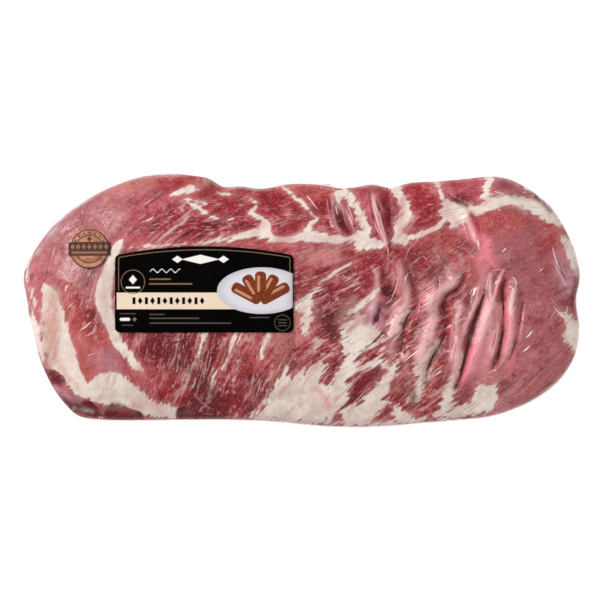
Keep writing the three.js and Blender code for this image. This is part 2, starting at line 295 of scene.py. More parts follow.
class PatchyNoise:
    """Smooth noise over a plane, from a seeded square of random numbers that repeats."""

    SIZE = 128  # numbers along each side of the square

    def __init__(self, seed: Seed) -> None:
        """Draws the numbers."""
        self.table = np.random.default_rng(seed.value).uniform(-1.0, 1.0, (self.SIZE, self.SIZE))

    def _cell(self, i: Array, j: Array) -> Array:
        """The numbers of whole cells."""
        return self.table[i % self.SIZE, j % self.SIZE]

    def __call__(self, x: Array, y: Array) -> Array:
        """The noise at points.

        Args:
            x: First coordinate, in cells.
            y: Second coordinate, in cells.

        Returns:
            Numbers between -1 and 1.
        """
        i, j = np.floor(x).astype(int), np.floor(y).astype(int)
        s, t = smoothstep(x - i, 0, 1), smoothstep(y - j, 0, 1)
        low = between(self._cell(i, j), self._cell(i + 1, j), s)
        high = between(self._cell(i, j + 1), self._cell(i + 1, j + 1), s)
        return between(low, high, t)


# --- The form of the pack ---


@dataclass(frozen=True)
class Fold:
    """A fold drawn up by the film: how far it reaches, its height (a groove is negative), its line."""

    reach: float
    height: float
    line: Sequence[Plan]

    PIECES = 24  # straight pieces of its line
    GROOVE_POWER = 1.7  # makes a groove narrower than a crest of the same reach

    def section(self, plan: Array, run_out: float) -> Array:
        """The fold's rounded section, from 0 to 1.

        Args:
            plan: Points, one a row.
            run_out: Share of its line over which it fades at either end.

        Returns:
            The section's height share at each point.
        """
        points = PlanCurve(self.line).spaced(self.PIECES)
        near = around(plan, points, self.reach)
        result = np.zeros(len(plan))
        distance, share = line_distance(plan[near], points)
        rounded = 0.5 + 0.5 * np.cos(np.pi * np.minimum(distance / self.reach, 1))
        result[near] = rounded * smoothstep(np.minimum(share, 1 - share), 0, run_out)
        return result

    def rise(self, plan: Array, run_out: float) -> Array:
        """Height that it adds at plan points, with the same arguments as its section."""
        section = self.section(plan, run_out)
        return self.height * (section if self.height > 0 else section**self.GROOVE_POWER)


def folds(*rows: Row) -> tuple[Fold, ...]:
    """Folds, each a row of its reach, its height and its line's coordinates."""
    return tuple(Fold(row[0], row[1], pairs(row[2:])) for row in rows)


@dataclass(frozen=True)
class Swell:
    """A broad swell of the muscle: plan centre, reach along X and Y, and height."""

    centre: Plan
    reach: Plan
    height: float

    def rise(self, plan: Array) -> Array:
        """Its height at plan points."""
        scaled = (plan - np.array(self.centre)) / np.array(self.reach)
        return self.height * np.exp(-(scaled**2).sum(1))


def swells(*rows: Row) -> tuple[Swell, ...]:
    """Swells, each a row of its centre, its reach and its height."""
    return tuple(Swell(row[0:2], row[2:4], row[4]) for row in rows)


# Plan outline, counter-clockwise from the lower left corner.
OUTLINE = (
    (-188, -80), (-176, -90.5), (-155, -93.5), (-96, -93.5), (-48, -93.5), (-13, -95.5), (20, -98.5),
    (52, -99), (84, -97), (117, -94), (147, -91), (166, -85.5), (187, -75.5), (202, -63.5), (213, -49),
    (218.5, -34), (219.5, -19), (217.5, -5), (217.2, 3), (220, 20), (216.5, 38), (209, 56), (198.5, 73),
    (187, 83.5), (175, 91.5), (163, 97), (149, 99), (128, 97), (105, 95), (86, 94), (70, 90.2), (56, 92.5),
    (34, 89.5), (14, 92.5), (-10, 93), (-31, 89.3), (-48, 91.2), (-62, 91), (-72, 97), (-88, 100),
    (-110, 100.5), (-131, 97.4), (-155, 88.5), (-178, 75.4), (-197, 59.5), (-213, 37.5), (-220, 20),
    (-217.5, 2), (-213, -21), (-208, -43), (-199, -64),
)
GRID_CORNERS = (0.008, 0.352, 0.512, 0.852)  # shares of the outline where the grid's corners lie

FOLDS = folds(
    # the long folds towards +X, from the middle of the rack outwards
    (7, 1.6, 59, 31, 59, 12, 58, -4, 54, -18),
    (9, 2.2, 73, 38, 78, 20, 82, 6, 81, -5, 75, -15, 71, -28, 69, -41),
    (5, -3.4, 80, 38, 84, 24, 88, 11, 91, -3, 84, -11, 80, -22, 79, -35, 75, -50),
    (12, 3.4, 127, 32, 122, 18, 112, 8, 103, -3, 102, -16, 98, -31, 91, -46, 87, -60),
    (5, -4.2, 130, 35, 128, 22, 123, 10, 113, 3, 111, -6, 113, -19, 111, -29, 105, -41, 99, -52, 97, -68,
     92, -84),
    (8, 2.2, 131, 4, 123, -10, 120, -25, 119, -40, 114, -56),
    (6, 2.6, 143, 16, 138, 3, 134, -8, 129, -21, 125, -34, 121, -50, 115, -66),
    (5, -5, 146, 21, 142.5, 4, 136.5, -13, 131.5, -29, 128.5, -42, 124, -60, 117, -80),
    (8.5, 3.8, 150, 17, 147.5, -6, 142.5, -21, 138.5, -36, 133, -52, 126, -69),
    (6, 2.2, 156, 6, 155, -12, 153, -27, 150, -41, 146, -54),
    (4.5, -4.2, 163, 24, 157.5, 11, 158, -3, 158, -17, 156.5, -31, 153, -45, 147, -61),
    (7.5, 3.4, 166, 17, 165, 0, 163.5, -16, 162.5, -29, 160, -40, 156, -50),
    (4.5, -1.4, 174, 8, 172, -9, 169.5, -24, 165, -40, 159, -54),
    # short folds along the upper edge
    (4.5, 1.6, 24, 92, 25, 70, 28, 57, 35, 50), (4.5, -2.6, 30, 80, 32, 67, 36, 57, 42, 52),
    (5, 3.2, 55, 90, 58, 70, 61, 58, 66, 44, 63, 34), (4.5, -2.6, 61, 92, 67, 78, 70, 67, 68, 55),
    (4.5, -2, 112, 87, 118, 81, 129, 75), (4.5, -2.4, 120, 43, 129, 41, 136, 35),
    (7, 2, 129, 70, 134, 54, 139, 41),
    # creases beside the nick in the +X end, the last one running off the rim
    (5, 1.6, 197, 35, 203, 21, 210, 8, 213, 0), (5, -2.4, 220, 0, 206, -2),
)

# Creases too fine for the solid model, which the film and the meat under it share.
CREASES = folds(
    (2.2, 0.9, 148, 24, 147, 12, 146, 2, 148, -5), (2.2, 0.9, 159, 25, 155, 14, 152, 4, 148, -5),
    (1.8, -0.9, 153, 22, 150, 12, 149, 2), (2.2, 0.6, 148, -5, 150, -15, 148, -26),
    (2, -0.7, 155, -2, 154, -16, 151, -30, 147, -44), (2.2, 0.8, 165, 20, 167, 13, 165, 4),
    (2, -0.6, 175, 10, 168, 0, 163, -11), (2, 0.6, 197, 34, 201, 26, 207, 16, 212, 7),
    (2, 0.5, 204, 31, 207, 22, 213, 13), (2, -0.5, 201, 32, 204, 23, 209, 14),
    (2, 0.7, 194, 5, 200, -3, 204, -8, 209, -11), (2.4, 0.9, 118, 43, 127, 41, 133, 37, 136, 30),
    (2.2, 0.6, 76, 35, 79, 24, 78, 11, 74, 0), (2, -0.5, 72, 30, 74, 17, 71, 4),
    (2, 0.5, 67, 40, 68, 30, 66, 19), (2, -0.6, 97, 33, 103, 26, 107, 16, 106, 4),
    (2, 0.6, 107, 42, 107, 33, 114, 26, 120, 14), (2, -0.8, 95, 2, 92, -12, 90, -24),
    (2.4, 0.7, 93, -26, 101, -33, 110, -23, 113, -12), (2.2, -0.8, 120, -12, 119, -30, 115, -44),
    (2.2, 0.7, 117, -41, 114, -53, 110, -66), (2, 0.6, 55, 87, 60, 79, 65, 68),
    (2, -0.7, 67, 87, 70, 77, 73, 67), (2.2, 0.8, 35, 74, 39, 67, 41, 57),
    (2.2, 0.6, 20, 84, 21, 71, 24, 59, 30, 53), (1.8, 0.5, -86, -72, -80, -78, -74, -83, -69, -87),
    (1.8, 0.6, -98, -85, -88, -88, -77, -89, -64, -90), (2, -0.7, 99, -69, 96, -77, 92, -85),
)

SWELLS = swells(
    (-95, 4, 92, 52, 2), (166, 44, 34, 28, 3.5), (180, -38, 26, 34, 2.5), (-178, -20, 26, 60, 2),
    (-20, 70, 52, 22, 2.5), (38, -52, 58, 34, -2.5), (96, 72, 26, 18, 2),
)


@dataclass
class Shell:
    """A closed mesh round the pack, in millimetres, with what its finish needs to know of each point."""

    points: Array  # one row each
    faces: Faces
    rib_share: Array  # share of the underside's columns, or -1 on the meat side and the rim
    rim: Array  # 0 on the faces, rising to 1 round the side

    @property
    def plan(self) -> Array:
        """The points' plan coordinates."""
        return self.points[:, :2]


@dataclass
class RackForm:
    """The pack's form: its outline, meat side, rounded rim and bone side."""

    length: float = 440.0
    width: float = 201.0
    thickness: float = 35.0  # in the middle, without the swells and folds
    edge_share: float = 0.5  # of the thickness, at the edge
    shoulder: float = 60.0  # how far in from the edge it grows to the full thickness
    shoulder_rounding: float = 2.3
    side_reach: float = 12.0  # from the edge in to where the rounded side starts
    side_from: float = 64.0  # degrees over the horizontal of the side's round section, at its top
    side_to: float = -72.0  # the same at its foot
    rib_count: int = 12
    rib_flat: float = 0.43  # share of the ribs' spacing over which a rib is flat
    rib_relief: float = 4.0  # depth of the hollows between the ribs
    foot_margin: float = 34.0  # how far in from the edge the bone side comes down to the ground
    foot_lift: float = 5.0  # its height over the ground at the edge
    fold_margin: Plan = (4.0, 22.0)  # where the folds rise to their height, in from the edge
    fold_run_out: float = 0.16  # share of a fold's line over which it fades at either end
    crease_run_out: float = 0.25
    ripple: float = 0.5  # height of the shallow ripple over the whole meat side
    ripple_lengths: tuple[float, float, float, float] = (9.0, 17.0, 11.0, 23.0)
    lean: float = 0.34  # of the grid's lines, along the folds
    edge_pieces: int = 400
    outline: PlanCurve = field(init=False)
    edge: Array = field(init=False)

    def __post_init__(self) -> None:
        """Fits the outline to the pack's size."""
        self.outline = PlanCurve(OUTLINE, closed=True).fitted(self.length, self.width)
        self.edge = self.outline.spaced(self.edge_pieces)

    def edge_distance(self, plan: Array) -> Array:
        """Distance from plan points to the outline."""
        return line_distance(plan, self.edge)[0]

    def top_height(self, plan: Array) -> Array:
        """Height of the meat side.

        Args:
            plan: Points, one a row.

        Returns:
            Height over the ground at each point.
        """
        distance = self.edge_distance(plan)
        x, y = plan[:, 0], plan[:, 1]
        slope = 1 - (1 - np.minimum(distance / self.shoulder, 1)) ** self.shoulder_rounding
        swells = sum(swell.rise(plan) for swell in SWELLS)
        a, b, c, d = self.ripple_lengths
        ripple = self.ripple * np.sin(x / a + y / b) * np.cos(y / c - x / d)
        drawn = sum(fold.rise(plan, self.fold_run_out) for fold in FOLDS)
        settled = smoothstep(distance, *self.fold_margin)
        crown = self.edge_share + (1 - self.edge_share) * slope
        return self.thickness * crown + swells * slope + ripple + drawn * settled

    def crease_height(self, plan: Array) -> Array:
        """Height that the fine creases add to the meat side."""
        return sum(crease.rise(plan, self.crease_run_out) for crease in CREASES)

    def underside_height(self, plan: Array, rib_share: Array) -> Array:
        """Height of the bone side: flat on the ribs' crests, and lifted near the edge.

        Args:
            plan: Points, one a row.
            rib_share: Each point's share of the underside's columns.

        Returns:
            Height over the ground at each point.
        """
        distance = self.edge_distance(plan)
        pitch_share = np.mod(rib_share * self.rib_count, 1.0)
        hollow = smoothstep(np.abs(pitch_share - 0.5), self.rib_flat / 2, 0.5)
        lift = 1 - smoothstep(distance, 0, self.foot_margin)
        settled = smoothstep(distance, self.side_reach, self.foot_margin)
        return self.rib_relief * hollow * settled + self.foot_lift * lift

    def _side(self, start: float, end: float, along: Array) -> Array:
        """Points on the rim's inner line, at shares of the way between two shares of the outline."""
        return self.outline.inset(start + (end - start) * along, self.side_reach)

    def _grid(self, columns: int, rows: int) -> tuple[Array, Array]:
        """A leaning grid of plan points that fills the outline inside its rim.

        Args:
            columns: Cells along the pack.
            rows: Cells across it.

        Returns:
            Plan points by row and column, and the share of the columns at each.
        """
        share = np.linspace(0, 1, columns + 1)[None, :]
        t = np.linspace(0, 1, rows + 1)[:, None]
        lower_left, lower_right, upper_right, upper_left = GRID_CORNERS
        shift = self.lean * share * (1 - share)
        s = (share + shift * (2 * t - 1))[..., None]
        up = t[..., None]
        lower = self._side(lower_left, lower_right, share - shift)
        upper = self._side(upper_left, upper_right, share + shift)
        left = self._side(lower_left + 1, upper_left, t)
        right = self._side(lower_right, upper_right, t)
        blend = lower * (1 - up) + upper * up + left * (1 - s) + right * s
        blend -= left[:1] * (1 - s) * (1 - up) + right[:1] * s * (1 - up)
        blend -= left[-1:] * (1 - s) * up + right[-1:] * s * up
        return blend, np.broadcast_to(share, (rows + 1, columns + 1))

    def shell(self, columns: int, rows: int, under_columns: int, under_rows: int, rings: int) -> Shell:
        """The whole closed form as one mesh.

        Args:
            columns: Cells along the meat side.
            rows: Cells across the meat side.
            under_columns: Cells along the bone side.
            under_rows: Cells across the bone side.
            rings: Bands of cells round the side.

        Returns:
            The mesh.
        """
        grid, _ = self._grid(columns, rows)
        top = grid.reshape(-1, 2)
        height = self.top_height(top)
        border, turn = grid_border(columns, rows)
        faces = grid_faces(columns, rows, 0, up=True)
        layers = [np.column_stack([top, height])]
        rims = [np.zeros(len(top))]
        count = len(top)
        above = border
        inner = top[border]
        outward = self._outward(inner)
        low = self.underside_height(inner, np.zeros(len(inner)))
        for k in range(1, rings):
            angle = self.side_from + (self.side_to - self.side_from) * k / rings
            layers.append(self._side_ring(inner, outward, height[border], low, angle))
            rims.append(np.full(len(border), math.sin(math.pi * k / rings)))
            ring = np.arange(count, count + len(border))
            faces += band_faces(above, ring)
            above = ring
            count += len(border)
        under_grid, under_share = self._grid(under_columns, under_rows)
        under = under_grid.reshape(-1, 2)
        share = under_share.reshape(-1)
        layers.append(np.column_stack([under, self.underside_height(under, share)]))
        rims.append(np.zeros(len(under)))
        faces += grid_faces(under_columns, under_rows, count, up=False)
        foot, foot_turn = grid_border(under_columns, under_rows)
        faces += join_borders(above, turn, foot + count, foot_turn)
        rib_share = np.concatenate([np.full(count, -1.0), share])
        return Shell(np.vstack(layers), faces, rib_share, np.concatenate(rims))

    def _outward(self, inner: Array) -> Array:
        """Directions from points inside the outline to its nearest places.

        Args:
            inner: The points, in order round the pack.

        Returns:
            Unit plan vectors, one a row.
        """
        gaps = self.edge[None, :, :] - inner[:, None, :]
        nearest = np.argmin((gaps**2).sum(-1), axis=1)
        away = gaps[np.arange(len(inner)), nearest]
        smooth = sum(np.roll(away, k, axis=0) for k in range(-3, 4))
        return smooth / np.linalg.norm(smooth, axis=1, keepdims=True)

    def _side_ring(self, inner: Array, outward: Array, high: Array, low: Array, angle: float) -> Array:
        """One ring of points round the side.

        Args:
            inner: Plan points of the meat side's border.
            outward: Unit vectors out of them.
            high: The meat side's height there.
            low: The bone side's height there.
            angle: Degrees over the horizontal of the side's round section.

        Returns:
            The ring's points.
        """
        cosine, sine = heading(angle)
        _, top = heading(self.side_from)
        _, foot = heading(self.side_to)
        end, _ = heading(self.side_from if angle >= 0 else self.side_to)
        reach = self.side_reach * (cosine - end) / (1 - end)
        rise = (sine - foot) / (top - foot)
        return np.column_stack([inner + outward * reach, low + (high - low) * rise])


def grid_faces(columns: int, rows: int, first: int, up: bool) -> Faces:
    """Four-sided faces of a grid.

    Args:
        columns: Cells along each row.
        rows: Rows of cells.
        first: Index of the grid's first point.
        up: Whether the faces look up.

    Returns:
        The faces.
    """
    j, i = np.meshgrid(np.arange(rows), np.arange(columns), indexing="ij")
    a = (j * (columns + 1) + i + first).ravel()
    corners = [a, a + 1, a + columns + 2, a + columns + 1]
    return [tuple(face) for face in np.stack(corners if up else corners[::-1], axis=1).tolist()]


def grid_border(columns: int, rows: int) -> tuple[Array, Array]:
    """The border of a grid, counter-clockwise from its first corner.

    Args:
        columns: Cells along each row.
        rows: Rows of cells.

    Returns:
        The points' indices, and how many sides round each one is.
    """
    i, j = np.arange(columns), np.arange(rows)
    width = columns + 1
    index = [i, j * width + columns, rows * width + columns - i, (rows - j) * width]
    turn = [i / columns, 1 + j / rows, 2 + i / columns, 3 + j / rows]
    return np.concatenate(index), np.concatenate(turn)


def band_faces(upper: Array, lower: Array) -> Faces:
    """Faces between two rings of as many points, given by their indices, looking outwards."""
    band = np.stack([upper, lower, np.roll(lower, -1), np.roll(upper, -1)], axis=1)
    return [tuple(face) for face in band.tolist()]


def join_borders(upper: Array, upper_turn: Array, lower: Array, lower_turn: Array) -> Faces:
    """Triangles between two rings of different counts.

    Args:
        upper: Indices of the upper ring.
        upper_turn: How many sides round each of its points is.
        lower: Indices of the lower ring.
        lower_turn: The same for its points.

    Returns:
        The triangles, looking outwards.
    """
    faces = []
    u = v = 0
    turns_up = np.append(upper_turn, 4.0)
    turns_down = np.append(lower_turn, 4.0)
    while u < len(upper) or v < len(lower):
        ahead = u < len(upper) and (v >= len(lower) or turns_up[u + 1] <= turns_down[v + 1])
        a, b = int(upper[u % len(upper)]), int(lower[v % len(lower)])
        if ahead:
            u += 1
            faces.append((a, b, int(upper[u % len(upper)])))
        else:
            v += 1
            faces.append((a, b, int(lower[v % len(lower)])))
    return faces


# --- Muscle and fat ---


@dataclass(frozen=True)
class MuscleZone:
    """A stretch of lean: plan centre, reach, colour, the grain's angle in degrees, and its streaks."""

    centre: Plan
    reach: Plan
    tint: Tint
    grain: float
    streaks: float

    CORE = 0.25  # keeps the weight finite at the centre
    FALLOFF = 2.2

    def weight(self, plan: Array) -> Array:
        """How strongly it holds at plan points, against other zones."""
        scaled = (plan - np.array(self.centre)) / np.array(self.reach)
        return 1.0 / ((scaled**2).sum(1) + self.CORE) ** self.FALLOFF


def zones(tint: Tint, *rows: Row) -> tuple[MuscleZone, ...]:
    """Zones of one colour, each a row of its centre, reach, grain and streaks."""
    return tuple(MuscleZone(row[0:2], row[2:4], tint, row[4], row[5]) for row in rows)


OUTSIDE = -10.0  # depth given to points that lie well outside a seam or patch


@dataclass(frozen=True)
class FatSeam:
    """A seam of fat along a line: each point has X, Y and half the seam's width."""

    ragged: float  # how far its edges wander
    line: Sequence[Triple]

    MARGIN = 14.0

    def depth(self, plan: Array) -> Array:
        """How deep plan points lie inside the seam.

        Args:
            plan: Points, one a row.

        Returns:
            Depths, negative outside.
        """
        points = np.array(self.line, float)
        curve = PlanCurve(points[:, :2])
        samples = curve.spaced(3 * (len(points) - 1))
        knot_shares = curve.shares[:: PlanCurve.STEPS]
        near = around(plan, samples, self.MARGIN)
        result = np.full(len(plan), OUTSIDE)
        distance, share = line_distance(plan[near], samples)
        result[near] = np.interp(share, knot_shares, points[:, 2]) - distance
        return result


@dataclass(frozen=True)
class FatPatch:
    """A field of fat, or of lean inside fat, within a ring of plan points."""

    ragged: float
    ring: Sequence[Plan]

    MARGIN = 12.0

    def depth(self, plan: Array) -> Array:
        """How deep plan points lie inside the patch.

        Args:
            plan: Points, one a row.

        Returns:
            Depths, negative outside.
        """
        ring = np.array(self.ring, float)
        near = around(plan, ring, self.MARGIN)
        result = np.full(len(plan), OUTSIDE)
        result[near] = ring_depth(plan[near], ring)
        return result


def seams(*rows: Row) -> tuple[FatSeam, ...]:
    """Seams, each a row of its raggedness and then each point's X, Y and half width."""
    return tuple(FatSeam(row[0], tuple(zip(row[1::3], row[2::3], row[3::3]))) for row in rows)


def patches(*rows: Row) -> tuple[FatPatch, ...]:
    """Patches, each a row of its raggedness and its ring's coordinates."""
    return tuple(FatPatch(row[0], pairs(row[1:])) for row in rows)


ZONES = (
    *zones(Tint.ROSE,
        (-188, 52, 25, 27, 78, 0.25), (-159, 77, 28, 13, 66, 0.25), (-149, 62, 13, 16, 60, 0.3),
        (-168, 22, 17, 16, 72, 0.45), (112, 24, 11, 9, 32, 0.5), (121, -35, 6, 20, 30, 0.6),
        (164, 30, 14, 11, 40, 0.15)),
    *zones(Tint.SALMON, (-137, 89, 22, 9, 40, 0.2)),
    *zones(Tint.CERISE,
        (-122, 70, 20, 14, 32, 0.55), (-127, 49, 19, 6, 8, 0.4), (-209, -7, 6, 20, 80, 0.4),
        (-3, 35, 13, 7, 24, 0.5), (52, 82, 9, 9, 60, 0.4), (129, 87, 17, 7, -30, 0.3)),
    *zones(Tint.SCARLET,
        (-97, 96, 17, 6, 28, 0.4), (-70, 77, 14, 6, -5, 0.5), (-55, 89, 20, 6, 2, 0.5),
        (95, 85, 14, 8, -20, 0.2)),
    *zones(Tint.CLAY, (-78, 92, 13, 7, 25, 0.3), (-15, -33, 9, 14, 70, 0.3), (155, -27, 5, 25, 66, 0.3)),
    *zones(Tint.GARNET,
        (-105, 59, 27, 11, 14, 0.9), (-80, 54, 28, 9, 4, 0.9), (-168, -14, 11, 14, 60, 0.6),
        (-155, -92, 20, 4, 0, 0.3), (-129, -34, 13, 9, 72, 0.6), (-105, -74, 17, 13, 66, 0.55),
        (-56, -56, 14, 24, 74, 1), (-50, 59, 24, 7, 6, 0.8), (-14, 68, 16, 9, 2, 0.45),
        (18, 76, 10, 10, -15, 0.3), (38, 37, 9, 6, 30, 0.5), (5, 18, 14, 11, 30, 0.8),
        (7, -36, 20, 9, 27, 0.9), (40, 8, 16, 11, 34, 0.8), (55, 22, 7, 13, 40, 0.3),
        (79, 33, 17, 9, 40, 0.5), (93, 30, 8, 13, 35, 0.5), (86, -17, 6, 20, 30, 0.6),
        (114, -9, 6, 24, 30, 0.6)),
    *zones(Tint.MAUVE,
        (-201, 22, 13, 9, 75, 0.3), (-156, -45, 13, 10, 68, 0.15), (163, 89, 14, 7, -30, 0.3),
        (188, 78, 11, 8, -45, 0.3), (174, 48, 17, 11, 40, 0.15), (180, 8, 20, 20, 50, 0.2),
        (188, -31, 19, 20, 52, 0.3), (203, -53, 14, 16, 50, 0.4), (174, -66, 20, 11, 44, 0.45)),
    *zones(Tint.BRICK,
        (-181, 0, 11, 19, 62, 0.6), (-155, -25, 9, 16, 66, 0.45), (-119, -63, 14, 11, 66, 0.4),
        (-36, -39, 14, 19, 72, 0.8), (7, 87, 16, 7, -8, 0.4), (-31, 41, 24, 4, 4, 0.3),
        (40, -91, 47, 6, 30, 0.6), (109, 43, 13, 8, 30, 0.4), (126, 26, 9, 11, 30, 0.4),
        (156, 62, 17, 9, 40, 0.15), (197, 48, 11, 13, 60, 0.2)),
    *zones(Tint.EMBER, (-175, -35, 6, 20, 66, 0.2), (-165, -63, 9, 6, 64, 0.2)),
    *zones(Tint.CRIMSON,
        (-188, -74, 10, 6, -30, 0.3), (-55, 74, 22, 7, 8, 0.6), (-26, 82, 11, 10, 0, 0.4),
        (-11, 55, 17, 6, 4, 0.5), (19, 57, 14, 6, 0, 0.4), (65, -41, 16, 11, 42, 1),
        (82, -66, 13, 16, 44, 0.7), (60, 68, 6, 17, 75, 0.3), (96, 67, 13, 9, 25, 0.4)),
    *zones(Tint.PLUM,
        (-111, -39, 16, 14, 72, 0.7), (-81, -48, 14, 19, 74, 0.9), (-41, -69, 14, 16, 70, 0.6),
        (34, 62, 6, 9, 60, 0.2), (22, 2, 17, 13, 32, 0.8), (68, 8, 8, 7, 35, 0.4), (76, 62, 8, 19, 60, 0.3),
        (134, -17, 6, 27, 62, 0.3), (214, 4, 6, 9, 60, 0.15), (46, -72, 17, 14, 46, 0.7)),
    *zones(Tint.MAROON, (-75, -75, 13, 13, 74, 0.8), (25, -23, 8, 9, 34, 0.4), (123, 79, 7, 6, -40, 0.2)),
    *zones(Tint.BLUSH,
        (19, 35, 13, 6, 32, 0.3), (-1, -23, 7, 16, 60, 0.4), (76, 13, 6, 11, 50, 0.4),
        (96, -4, 7, 24, 30, 0.6)),
    *zones(Tint.LILAC, (57, -9, 5, 11, 60, 0.2), (208, 22, 6, 17, 70, 0.15)),
    # The blossom and coral zones lie on crests of the folds and are partly painted highlight.
    *zones(Tint.BLOSSOM, (141, -14, 6, 24, 62, 0.3)),
    *zones(Tint.CORAL, (136, -41, 6, 11, 62, 0.3), (163, -15, 5, 27, 66, 0.3), (140, 43, 7, 14, 70, 0.1)),
)

SEAMS = seams(
    # beside and over the label
    (0.8, -140, 48, 1, -144, 41, 3.5, -149, 33, 4, -152, 22, 4.5, -154, 11, 6, -155, 0, 6.5, -152, -11,
     5.5, -148, -23, 4.5, -142, -35, 4, -135, -44, 3.5, -129, -52, 3, -125, -55, 1),
    (1.2, -202, 10, 3, -198, 3, 6.5, -195, -7, 8.5, -193, -19, 10, -192, -31, 11, -189, -42, 11, -185,
     -52, 9.5, -180, -59, 8, -174, -67, 7, -170, -71, 5.5),
    (0.8, -215, 30, 1, -216, 20, 1.5, -215, 11, 1.5, -212, 0, 1, -211, -14, 2, -209, -23, 3, -207, -35, 3,
     -204, -45, 2.5),
    (1, -138, 42, 0.5, -119, 43, 0.5, -94, 44, 0.5, -80, 45, 1, -67, 46, 2, -55, 48, 2.5, -44, 50, 2.5,
     -36, 52, 3, -28, 52, 4, -17, 48, 2, -6, 48, 2.5, 3, 50, 4.5, 13, 50, 3.5, 24, 48, 3, 33, 48, 2.5, 40,
     48, 2.5),
    (0.8, -65, 86, 0.5, -55, 84, 1, -47, 81, 1, -40, 79, 1.5, -36, 76, 1.5, -37, 71, 1.5, -39, 69, 1.5,
     -35, 66, 1.5, -30, 63, 1.5, -26, 59, 2.5, -29, 53, 3.5),
    (0.6, -16, 90, 1, -11, 87, 1.5, -4, 81, 1.5, 3, 75, 1.5, 8, 69, 1, 14, 65, 1),
    (0.6, 14, 65, 1, 7, 59, 1.5, 4, 54, 3),
    (0.7, -94, 78, 0.5, -88, 77, 1, -82, 74, 2, -76, 70, 1.5, -70, 66, 1, -64, 64, 1, -55, 65, 0.5),
    (0.7, -91, 80, 0.5, -82, 79, 1, -76, 77, 1),
    (0.8, -103, 84, 1, -97, 85, 2, -89, 88, 2.5, -82, 88, 1.5),
    # along the upper edge
    (1, 26, 87, 1.5, 29, 87, 3, 34, 86, 3.5, 39, 84, 1.5),
    (0.8, 29, 87, 2.5, 29, 79, 1.5, 30, 72, 1),
    (2, 33, 84, 2, 40, 77, 2.5, 45, 69, 3, 49, 61, 3.5, 51, 56, 3),
    (2, 74, 89, 4, 78, 82, 4, 81, 74, 3, 84, 67, 3, 79, 62, 4, 75, 55, 4.5, 77, 48, 5, 81, 45, 2.5),
    (1.3, 84, 49, 2, 93, 52, 1.5, 103, 56, 1.5, 110, 61, 2, 117, 67, 3),
    (1.5, 107, 94, 2, 110, 87, 1.5, 111, 81, 2.5),
    (2.2, 131, 73, 2.5, 138, 71, 4, 144, 73, 3.5, 150, 76, 4.5, 159, 78, 4, 168, 79, 4, 177, 78, 5,
     186, 74, 6.5, 193, 68, 6.5, 199, 64, 4, 204, 60, 1.5),
    (1.8, 148, 95, 3, 146, 89, 4, 144, 81, 3),
    (0.8, 175, 90, 1, 188, 83, 1.5, 197, 74, 1.5, 205, 62, 1.5),
    # the smooth end
    (1.9, 205, 49, 2.5, 210, 44, 4, 214, 35, 4.5, 217, 27, 3, 218, 21, 1.5),
    (1.8, 204, -10, 2, 210, -14, 4.5, 213, -22, 6.5, 214, -30, 6.5, 216, -38, 3),
    # thin ones in the middle and under the label
    (0.5, 40, 30, 0.5, 27, 22, 1, 14, 13, 0.5),
    (1.6, 30, -15, 0.5, 39, -8, 1.5, 50, -1, 2, 56, 4, 2.5, 61, 8, 1),
    (1.4, 126, -39, 1.5, 124, -48, 2.5, 122, -58, 2.5, 118, -67, 3, 115, -75, 4, 113, -81, 4.5),
    (1.4, -74, -26, 1.5, -77, -33, 2, -81, -44, 0.5),
    (1.4, -48, -26, 1, -54, -35, 2, -58, -44, 1.5, -62, -53, 0.5),
    (1.4, -26, -26, 2, -30, -35, 2, -32, -46, 0.5),
    (1.2, -67, -55, 1, -69, -63, 1.5, -70, -69, 0.5),
)

PATCHES = patches(
    (1.4, -171, -67, -166, -63, -162, -58, -155, -57, -149, -56, -142, -57, -137, -60, -133, -66, -126,
     -68, -123, -75, -117, -79, -107, -81, -97, -85, -88, -89, -97, -92, -111, -92, -122, -91, -131, -88,
     -143, -85, -152, -83, -159, -81, -166, -78, -173, -74, -176, -70),
    (1.5, 41, 52, 44, 55, 51, 56, 55, 53, 54, 48, 60, 47, 65, 44, 63, 41, 51, 39, 44, 39, 42, 44, 41, 48),
    (2, 111, 80, 115, 82, 118, 79, 124, 76, 130, 74, 132, 69, 128, 62, 123, 56, 117, 55, 115, 60, 110, 63,
     109, 72),
    (1.8, -6, -4, 0, 1, 6, 6, 15, 10, 11, 3, 8, -4, 8, -12, 7, -18, 4, -26, 0, -26, 0, -17, 1, -11, -2,
     -8, -6, -10),
    (2.4, -12, -47, -10, -52, -8, -63, -4, -60, 2, -55, 10, -50, 20, -48, 26, -41, 30, -35, 31, -28, 33,
     -21, 39, -14, 44, -10, 50, -12, 49, -18, 55, -19, 60, -23, 67, -27, 74, -29, 79, -33, 76, -41, 74,
     -47, 78, -52, 73, -61, 68, -72, 65, -79, 70, -81, 76, -82, 81, -88, 89, -92, 101, -92, 100, -96, 78,
     -99, 46, -100, 15, -98, -13, -96, -34, -94, -41, -91, -34, -85, -28, -77, -22, -67, -17, -55),
    (2, 89, -50, 93, -44, 100, -38, 107, -32, 109, -35, 106, -41, 101, -48, 98, -55, 97, -63, 96, -70, 92,
     -78, 87, -81, 82, -78, 85, -70, 89, -61, 91, -55),
    (2, 64, -32, 67, -22, 72, -14, 78, -7, 86, -2, 85, -10, 80, -18, 78, -27, 73, -35, 67, -39),
    (2, 140, -65, 145, -67, 155, -67, 155, -73, 154, -80, 151, -86, 144, -89, 133, -91, 121, -93, 110,
     -93, 103, -91, 106, -85, 114, -81, 123, -82, 131, -80, 136, -73),
)

